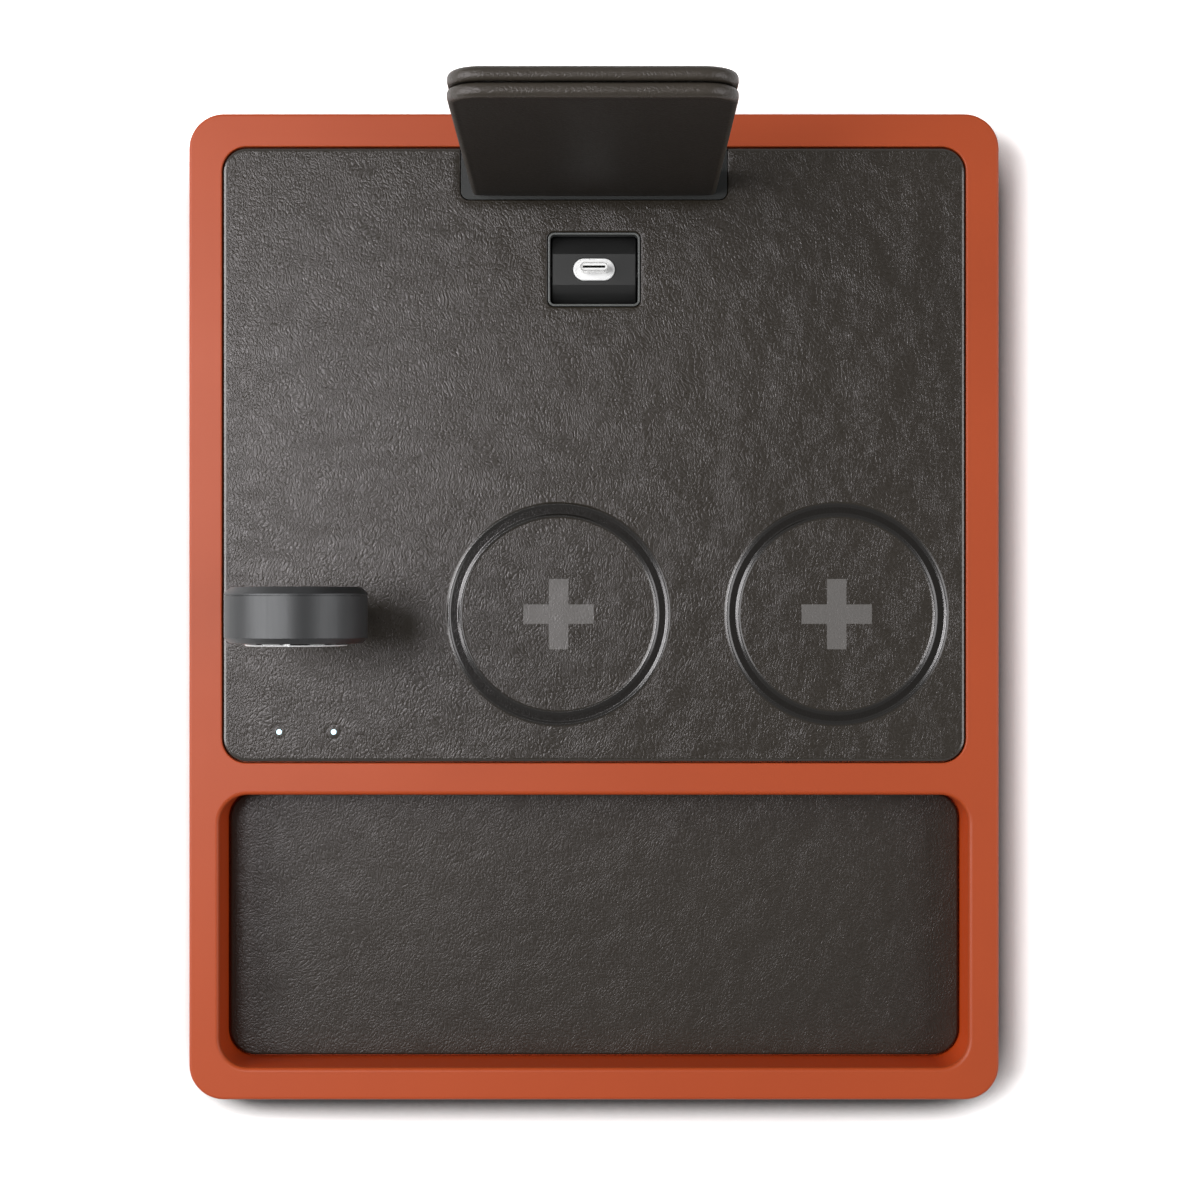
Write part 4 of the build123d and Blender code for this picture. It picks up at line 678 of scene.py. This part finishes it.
# %% Coils and light pipes
coil_copper = {
    name: make_material(
        name + "_copper", wound_tree, 0.05 * MM, {"Gloss": 0.32}, centre=middle(name), Metallic=1.0)
    for name in ("coil_left", "coil_right", "watch_coil")
}
pipe_glow = moulded(
    "pipe_glow", 0.001, (0.66, 0.90, 0.96, 1), (0.56, 0.84, 0.92, 1), 900.0, 0.2,
    Emission_Color=(0.60, 0.90, 1.0, 1), Emission_Strength=0.9,
)
print("coils:", sorted(coil_copper))

# %% [markdown]
# Each rigid node now gets its finish. The table goes by finish, so that pieces
# which came out of the same workshop stay together.

# %% Finishes of the rigid nodes
finishes = {
    terracotta: ["tray_frame"],
    charcoal: ["base_cover"],
    fibre: ["deck_board", "tray_board"],
    hidden_black: [
        "rocker_cradle", "coil_dish_left", "coil_dish_right", "plug_clamp", "light_holder", "inlet_tongue",
    ],
    bezel_trim: ["rocker_bezel"],
    foot_trim: ["stand_foot_plate"],
    drum_black: ["rocker_drum"],
    rubber: ["foot_front_left", "foot_front_right", "foot_rear_left", "foot_rear_right"],
    screw_steel: [
        "base_screws", "deck_screws", "dish_screws", "cradle_screws", "stand_screws", "clamp_screws",
        "board_screws", "light_screws", "stem_nut", "rocker_pin_left", "rocker_pin_right",
    ],
    spine_steel: ["stand_spine"],
    plug_steel: ["plug_tip", "inlet_shell"],
    white_nylon: ["plug_body", "board_headers"],
    tongue_white: ["plug_insert"],
    puck_gloss: ["watch_puck"],
    anodised: ["watch_back_cap", "watch_stem"],
    anodised_barrel: ["watch_shell"],
    ferrite_grey: ["ferrite_left", "ferrite_right", "watch_ferrite", "board_inductors"],
    circuit: ["control_board", "light_board"],
    chip_epoxy: ["board_chips", "light_chips"],
    can_aluminium: ["board_capacitors"],
    pipe_glow: ["light_pipe_left", "light_pipe_right"],
}
for name, material in coil_copper.items():
    finishes[material] = [name]
for material, names in finishes.items():
    for name in names:
        nodes[name].data.materials.clear()
        nodes[name].data.materials.append(material)
dressed = sum(len(names) for names in finishes.values())
print("rigid nodes dressed:", dressed, "of", len(nodes))

# %% [markdown]
# ## Leather skins as height fields
#
# A skin that lies on a board is one height over each point of the board's plane.
# The plan is filled with points: rings that follow every edge and every pressed ring
# closely, and a loose grid between them. Triangles join the points, the top is lifted
# by a formula, the underside by another, and walls close the rim.
# A straight grid can't follow round corners and small holes, which is why this
# plan of rings was chosen.

# %% Plans: outlines, distances and points
def round_outline(width, depth, corner, centre, step):
    """Points round a rectangle with round corners: four arcs of a quarter turn, joined by straight runs."""
    arc = max(4, int(corner * tau / 4 / step) + 2)
    turns = np.linspace(0, tau / 4, arc)
    quarter = np.arange(4)[:, None] * tau / 4 + turns[None, :]
    signs = np.array([(1, 1), (-1, 1), (-1, -1), (1, -1)])
    hubs = signs * (width / 2 - corner, depth / 2 - corner)
    corners = hubs[:, None, :] + corner * np.stack((np.cos(quarter), np.sin(quarter)), -1)
    loop = corners.reshape(-1, 2)
    after = np.roll(loop, -1, 0)
    counts = np.maximum(1, (np.linalg.norm(after - loop, axis=1) / step).astype(int))
    which = np.repeat(np.arange(len(loop)), counts)
    share = (np.arange(counts.sum()) - np.repeat(np.cumsum(counts) - counts, counts)) / counts[which]
    return loop[which] * (1 - share)[:, None] + after[which] * share[:, None] + np.asarray(centre)


def inset_outlines(size, corner, centre, insets, step):
    """The outline of a rounded rectangle, moved inwards by each of these insets, which are in mm."""
    return [
        round_outline(size[0] - 2 * inset, size[1] - 2 * inset, corner - inset, centre, step)
        for inset in (i * MM for i in insets)
    ]


def inside_by(points, width, depth, corner, centre):
    """How far each point lies inside a rectangle with round corners; negative outside."""
    q = np.abs(points - np.asarray(centre)) - (width / 2 - corner, depth / 2 - corner)
    return corner - np.linalg.norm(np.maximum(q, 0), axis=1) - np.minimum(q.max(axis=1), 0)


def circle_points(centre, radius, count):
    """A ring of evenly spread points."""
    turns = np.arange(count) * tau / count
    return np.asarray(centre) + radius * np.stack((np.cos(turns), np.sin(turns)), -1)


row_spacing = 0.866


def grid_points(low, high, pitch):
    """Points in rows, every second row shifted by half a pitch, so that their triangles are near equal."""
    rows = np.arange(low[1], high[1], pitch * row_spacing)
    columns = np.arange(low[0], high[0], pitch)
    x = columns[None, :] + (np.arange(len(rows)) % 2)[:, None] * pitch / 2
    return np.stack((x.ravel(), np.repeat(rows, len(columns))), -1)


def roll(distance, radius):
    """Drop of a rounded edge: a quarter circle of this radius that starts at distance 0 and ends level."""
    back = 1 - np.clip(distance / radius, 0, 1)
    return radius * (1 - np.sqrt(1 - back**2))


def bump_at(distance, width):
    """A bell of height 1 and this width about distance 0."""
    return np.exp(-((distance / width) ** 2))


print("plan helpers ready")

# %% [markdown]
# One function makes every skin. The plan goes through Blender's constrained Delaunay
# triangulation, which keeps the loops as edges. A side of a triangle that has no
# partner is on the rim, so the walls are found without searching the plan again.

# %% A closed skin over a plan
sharp_from = radians(55)


def skin(name, loops, loose, keep, top, bottom, material, place=None):
    """Closed mesh over a plan: the loops stay edges, and keep says which triangles belong.

    top and bottom give the heights over the plan; place carries the corners elsewhere."""
    points = np.concatenate(loops + [loose])
    starts = np.cumsum([0] + [len(loop) for loop in loops])
    edges = [
        (first + k, first + (k + 1) % (last - first))
        for first, last in zip(starts[:-1], starts[1:])
        for k in range(last - first)
    ]
    plan, _, faces, *_ = delaunay_2d_cdt([Vector(p) for p in points.tolist()], edges, [], 0, 1e-7, False)
    flat, faces = np.array(plan, float), np.array(faces, int)
    faces = faces[keep(flat[faces].mean(axis=1))]
    a, b, c = flat[faces[:, 0]], flat[faces[:, 1]], flat[faces[:, 2]]
    upside_down = (b - a)[:, 0] * (c - a)[:, 1] - (b - a)[:, 1] * (c - a)[:, 0] < 0
    faces[upside_down] = faces[upside_down][:, ::-1]
    used, faces = np.unique(faces, return_inverse=True)
    flat, faces = flat[used], faces.reshape(-1, 3)
    size = len(flat)
    sides = np.concatenate((faces[:, [0, 1]], faces[:, [1, 2]], faces[:, [2, 0]]))
    code, back = sides[:, 0] * size + sides[:, 1], sides[:, 1] * size + sides[:, 0]
    rim = sides[~np.isin(code, back)]
    walls = np.stack((rim[:, 0], rim[:, 0] + size, rim[:, 1] + size, rim[:, 1]), -1)
    corners = np.concatenate((np.column_stack((flat, top(flat))), np.column_stack((flat, bottom(flat)))))
    if place:
        corners = place(corners)
    mesh = bpy.data.meshes.new(name)
    mesh.from_pydata(corners.tolist(), [], faces.tolist() + (faces[:, ::-1] + size).tolist() + walls.tolist())
    mesh.shade_smooth()
    mesh.set_sharp_from_angle(angle=sharp_from)
    mesh.materials.append(material)
    piece = bpy.data.objects.new(name, mesh)
    bpy.context.scene.collection.objects.link(piece)
    print(name, "faces:", len(mesh.polygons))
    return piece

# %% [markdown]
# ## The deck skin
#
# The leather is stretched over the deck board and turned down round its edge. Two rings
# are pressed into it over the charging coils. A pressed ring is a shallow round trough
# with a fine raised lip on each side, where the leather was pushed up.
# The skin stops at the plug's bezel, at the backrest's foot and round the light pipes.

# %% Sizes of the deck skin
deck_size = (deck_high.x - deck_low.x, deck_high.y - deck_low.y)
deck_centre = ((deck_low.x + deck_high.x) / 2, (deck_low.y + deck_high.y) / 2)
deck_outline = (*deck_size, deck_corner, deck_centre)
deck_roll, deck_bevel, bevel_slope = 0.2 * MM, 0.75 * MM, 0.45
wrap = 0.95 * MM
board_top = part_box("deck_board")[1].z
bezel_low, bezel_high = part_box("rocker_bezel")
bezel_centre = (0.0, (bezel_low.y + bezel_high.y) / 2)
bezel_cut = (27.8 * MM, 22.3 * MM, 1.95 * MM, bezel_centre)
foot_cut_front = 121.55 * MM
foot_cut_rear = deck_high.y + 12 * MM
foot_centre = (0.0, (foot_cut_front + foot_cut_rear) / 2)
foot_cut = (79.8 * MM, foot_cut_rear - foot_cut_front, 2.5 * MM, foot_centre)
ring_centres = [tuple(middle(name))[:2] for name in ("coil_left", "coil_right")]
trough_floor, trough_depth, lip_height, lip_foot = 0.9 * MM, 0.07 * MM, 0.24 * MM, 2.5 * MM
pipe_centres = [tuple(middle(name))[:2] for name in ("light_pipe_left", "light_pipe_right")]
pipe_hole, dimple_radius, dimple_depth, dimple_width = 0.85 * MM, 2.1 * MM, 0.09 * MM, 0.35 * MM
stud_centre, stud_hole = tuple(middle("stem_nut"))[:2], 4.1 * MM
print("deck, mm:", [round(v / MM, 1) for v in deck_size])
print("rings at, mm:", [[round(v / MM, 1) for v in c] for c in ring_centres])

# %% [markdown]
# The top of the skin is a sum of small drops, each of them a function of one distance:
# to the deck's edge, to a cut, to a light pipe or to a pressed ring. Written this
# way, a size can be changed without drawing anything again.

# %% Heights of the deck skin
def ring_relief(points):
    """Trough at ring_radius about each coil.

    Its floor is level, a squared sine climbs to the lip, and a squared cosine falls to the deck."""
    relief = np.zeros(len(points))
    for centre in ring_centres:
        off = np.abs(np.linalg.norm(points - centre, axis=1) - ring_radius)
        climb = np.clip((off - trough_floor) / (lip_offset - trough_floor), 0, 1)
        fall = np.clip((off - lip_offset) / (lip_foot - lip_offset), 0, 1)
        inner = (trough_depth + lip_height) * np.sin(climb * tau / 4) ** 2 - trough_depth
        relief += np.where(off < lip_offset, inner, lip_height * np.cos(fall * tau / 4) ** 2)
    return relief


def deck_face(points):
    """Top of the deck skin: level, bevelled and rolled down at its edges, pressed at the rings.

    Round each light pipe a bell-shaped dimple runs in a ring."""
    inset = inside_by(points, *deck_outline)
    drop = roll(inset, deck_roll) + bevel_slope * np.maximum(deck_bevel - inset, 0)
    drop = drop + roll(-inside_by(points, *bezel_cut), 0.55 * MM)
    drop = drop + roll(-inside_by(points, *foot_cut), 0.3 * MM)
    for centre in pipe_centres:
        reach = np.linalg.norm(points - centre, axis=1)
        drop = drop + dimple_depth * bump_at(reach - dimple_radius, dimple_width)
    return deck_top - drop + ring_relief(points)


def deck_back(points):
    """Underside of the deck skin: it lies on the board, and hangs down past the board's edge."""
    turned_down = inside_by(points, *deck_outline) < wrap + 0.01 * MM
    return np.where(turned_down, deck_low.z, board_top)


def on_deck(points):
    """True where the skin has leather: inside the deck, outside every cut."""
    there = inside_by(points, *deck_outline) > 0
    there &= inside_by(points, *bezel_cut) < 0
    there &= inside_by(points, *foot_cut) < 0
    for centre, radius in [(stud_centre, stud_hole)] + [(c, pipe_hole) for c in pipe_centres]:
        there &= np.linalg.norm(points - centre, axis=1) > radius * 0.97
    return there


print("deck heights ready")

# %% [markdown]
# The rings of points are close together where the height changes fast, and the grid
# keeps clear of them, so that no sliver of a triangle catches the light.

# %% Plan of the deck skin
deck_loops = inset_outlines(
    deck_size, deck_corner, deck_centre, (0, 0.05, 0.12, 0.2, 0.45, 0.68, 0.82, 1.1), 1.3 * MM)
deck_loops += inset_outlines(
    bezel_cut[:2], bezel_cut[2], bezel_centre, (0, -0.06, -0.18, -0.36, -0.6), 0.7 * MM)
deck_loops += inset_outlines(foot_cut[:2], foot_cut[2], foot_centre, (0, -0.1, -0.3), 1.0 * MM)
deck_loops += [circle_points(stud_centre, stud_hole, 36)]
deck_loops += [circle_points(c, pipe_hole, 20) for c in pipe_centres]
ring_offsets = np.concatenate((np.arange(-2.7, 2.71, 0.18), (-3.2, 3.2))) * MM
deck_rings = [circle_points(c, ring_radius + off, 260) for c in ring_centres for off in ring_offsets]
pipe_rings = [circle_points(c, r * MM, 24) for c in pipe_centres for r in (1.2, 1.6, 1.9, 2.3, 2.7, 3.3)]
field = grid_points(deck_low, deck_high, 2.6 * MM)
clear = inside_by(field, *deck_outline) > 2 * MM
clear &= inside_by(field, *bezel_cut) < -1.5 * MM
clear &= inside_by(field, *foot_cut) < -1.2 * MM
for centre in ring_centres:
    clear &= np.abs(np.linalg.norm(field - centre, axis=1) - ring_radius) > 4.4 * MM
for centre in pipe_centres + [stud_centre]:
    clear &= np.linalg.norm(field - centre, axis=1) > 5 * MM
deck_loose = np.concatenate(deck_rings + pipe_rings + [field[clear]])
print("points in the deck's plan:", sum(len(loop) for loop in deck_loops) + len(deck_loose))

# %% [markdown]
# The mesh takes the place of the plain leather solid and rides the same body.

# %% The deck skin itself
deck_skin = skin("deck_skin", deck_loops, deck_loose, on_deck, deck_face, deck_back, deck_hide)
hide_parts("deck_leather")
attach(deck_skin, "station")

# %% [markdown]
# ## The tray lining
#
# The tray has a plain leather-covered board dropped in, with a softly rounded edge
# and a hair of shadow between it and the moulded wall.

# %% Tray lining
tray_size = (tray_high.x - tray_low.x, tray_high.y - tray_low.y)
tray_centre = ((tray_low.x + tray_high.x) / 2, (tray_low.y + tray_high.y) / 2)
tray_corner = 8.0 * MM
tray_outline = (*tray_size, tray_corner, tray_centre)


def tray_face(points):
    """Top of the lining: level, with a rolled edge."""
    return tray_high.z - roll(inside_by(points, *tray_outline), 0.7 * MM)


tray_loops = inset_outlines(tray_size, tray_corner, tray_centre, (0, 0.06, 0.16, 0.34, 0.55, 0.8), 1.3 * MM)
field = grid_points(tray_low, tray_high, 5 * MM)
field = field[inside_by(field, *tray_outline) > 2.5 * MM]
tray_skin = skin("tray_skin", tray_loops, field, lambda p: inside_by(p, *tray_outline) > 0,
                 tray_face, lambda p: np.full(len(p), tray_low.z), tray_hide)
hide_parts("tray_leather")
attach(tray_skin, "station")

# %% [markdown]
# ## The padded backrest
#
# Two thin leather pads are joined back to back over a steel plate. Each has a full round
# edge, a fine crease where the face begins, and a face that swells a very little.
# The pads are firm foam over a plate, four millimetres thick, so their shape is worked out:
# a formula keeps the seam and the plate's pocket exact. The plan lies flat, runs on
# below the deck so that its lower edge is straight, and is then stood up.

# %% Shape of a pad
lean = radians(1.3)
seam_gap, face_roll, seam_roll = 0.5 * MM, 1.7 * MM, 1.3 * MM
crown, crown_width = 0.22 * MM, 24 * MM
crease_depth, crease_inset, crease_width = 0.07 * MM, 2.6 * MM, 0.5 * MM
waviness = 0.03 * MM
pocket_depth, pocket_inset, pocket_slope = 0.56 * MM, 4.6 * MM, 1.2 * MM
stand_foot = np.array((0.0, 122.7 * MM, deck_top))
pad_plan = (pad_width, pad_height + pad_below_deck, pad_corner, (0.0, (pad_height - pad_below_deck) / 2))


def pad_swell(points):
    """How far the face sinks under its fullest height: a low crown, a crease at the edge and faint waves."""
    edge = inside_by(points, *pad_plan)
    sink = roll(edge, face_roll) + crown * (1 - np.clip(edge / crown_width, 0, 1)) ** 2
    sink = sink + crease_depth * bump_at(edge - crease_inset, crease_width)
    return sink + waviness * (1 + np.sin(points[:, 0] * 260) * np.cos(points[:, 1] * 190 + 1.3)) / 2


def pad_seam_side(points):
    """How far the seam side stands back: a rolled edge, then a flat pocket for the steel plate."""
    edge = inside_by(points, *pad_plan)
    pocket = np.clip((edge - pocket_inset) / pocket_slope, 0, 1)
    return roll(edge, seam_roll) + pocket_depth * pocket


def on_stand(corners):
    """Carries (across, up, out) onto the backrest: up leans back by the lean, out faces the phone."""
    across, up, out = corners.T
    y = stand_foot[1] + up * sin(lean) - out * cos(lean)
    z = stand_foot[2] + up * cos(lean) + out * sin(lean)
    return np.column_stack((across, y, np.maximum(z, deck_top + 0.02 * MM)))


def on_pad(points):
    """True inside the pad's outline and above the deck."""
    return (inside_by(points, *pad_plan) > 0) & (points[:, 1] > 0)


print("pad, mm:", round(pad_width / MM, 1), "by", round(pad_height / MM, 1))

# %% [markdown]
# Both pads share one plan and one hide. The front one swells towards the phone, and
# the rear one is its mirror image across the seam.

# %% Backrest pads
foot_edge = np.stack((np.linspace(-0.5, 0.5, 60) * (pad_width + 4 * MM), np.zeros(60)), -1)
foot_line = np.concatenate((foot_edge, foot_edge[::-1] - (0, 3 * MM)))
pad_insets = (0, 0.1, 0.28, 0.55, 0.9, 1.3, 1.7, 2.2, 2.6, 3.1, 4.6, 5.8)
pad_loops = inset_outlines(pad_plan[:2], pad_corner, pad_plan[3], pad_insets, 1.3 * MM) + [foot_line]
field = grid_points((-pad_width / 2, -4 * MM), (pad_width / 2, pad_height), 3.2 * MM)
field = field[inside_by(field, *pad_plan) > 7 * MM]
seam_back = pad_thick + seam_gap
front_pad = skin("front_pad", pad_loops, field, on_pad, lambda p: -pad_swell(p),
                 lambda p: pad_seam_side(p) - pad_thick, pad_hide, on_stand)
back_pad = skin("back_pad", pad_loops, field, on_pad, lambda p: -seam_back - pad_seam_side(p),
                lambda p: pad_swell(p) - seam_back - pad_thick, pad_hide, on_stand)
for pad, node_name in ((front_pad, "stand_front_pad"), (back_pad, "stand_back_pad")):
    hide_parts(node_name)
    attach(pad, "station")

# %% [markdown]
# ## The floor
#
# The floor shows white to the camera and to anything that mirrors it, and still takes
# the object's shadow. To other light it is a plain pale grey. Close to the object,
# on the side away from the light, it is darker: an occlusion node leans towards
# the light and measures how much of the sky the object hides there. Far out the
# floor glows white to the camera, so that it runs into the white of the world
# without a line, and that glow lights nothing.

# %% Floor
floor_half = 3.0
shadow_reach = 16 * MM
white_from, white_to = 0.45, 1.1
floor_mesh = bpy.data.meshes.new("floor")
floor_corners = [(x * floor_half, y * floor_half, 0) for x, y in ((-1, -1), (1, -1), (1, 1), (-1, 1))]
floor_mesh.from_pydata(floor_corners, [], [(0, 1, 2, 3)])
floor = bpy.data.objects.new("floor", floor_mesh)
bpy.context.scene.collection.objects.link(floor)
paper = bpy.data.materials.new("paper")
paper.use_nodes = True
tree = paper.node_tree
rays = add_node(tree, "ShaderNodeLightPath").outputs
mirrored = math_node(tree, "MAXIMUM", rays["Is Glossy Ray"], rays["Is Transmission Ray"])
seen = math_node(tree, "MAXIMUM", rays["Is Camera Ray"], mirrored)
towards_light = add_node(tree, "ShaderNodeCombineXYZ", {"X": -0.20, "Y": 0.50, "Z": 0.84}).outputs[0]
sky_probe = {"Distance": shadow_reach, "Normal": towards_light}
sky = add_node(tree, "ShaderNodeAmbientOcclusion", sky_probe, samples=32).outputs["AO"]
open_sky = add_node(tree, "ShaderNodeMapRange", {"Value": sky, "From Min": 0.625, "From Max": 1.0}).outputs[0]
white = mix(tree, open_sky, (0.09, 0.09, 0.09, 1), (1.80, 1.80, 1.80, 1))
shown = mix(tree, rays["Is Camera Ray"], (1, 1, 1, 1), white)
spread = vector_node(tree, "LENGTH", add_node(tree, "ShaderNodeTexCoord").outputs["Object"])
far_white = math_node(tree, "MULTIPLY", ramp(tree, spread, white_from, white_to), rays["Is Camera Ray"])
paper_shader = tree.nodes["Principled BSDF"].inputs
tree.links.new(mix(tree, seen, (0.75, 0.75, 0.75, 1), shown), paper_shader["Base Color"])
tree.links.new(far_white, paper_shader["Emission Strength"])
paper_shader["Emission Color"].default_value = (1, 1, 1, 1)
paper_shader["Roughness"].default_value = 1.0
paper_shader["Specular IOR Level"].default_value = 0.0
floor_mesh.materials.append(paper)
print("floor half width:", floor_half, "m")

# %% [markdown]
# The world is white where the camera sees it and a dim grey to everything else, so
# the background stays white while the light on the object stays plain.

# %% World
world = bpy.data.worlds.new("studio")
bpy.context.scene.world = world
world.use_nodes = True
tree = world.node_tree
rays = add_node(tree, "ShaderNodeLightPath").outputs
sky = mix(tree, rays["Is Camera Ray"], (0.22, 0.22, 0.22, 1), (1, 1, 1, 1))
tree.links.new(sky, tree.nodes["Background"].inputs["Color"])
bpy.context.scene.view_settings.view_transform = "Standard"
print("world ready")

# %% [markdown]
# ## The end

# %% The end
print("end")
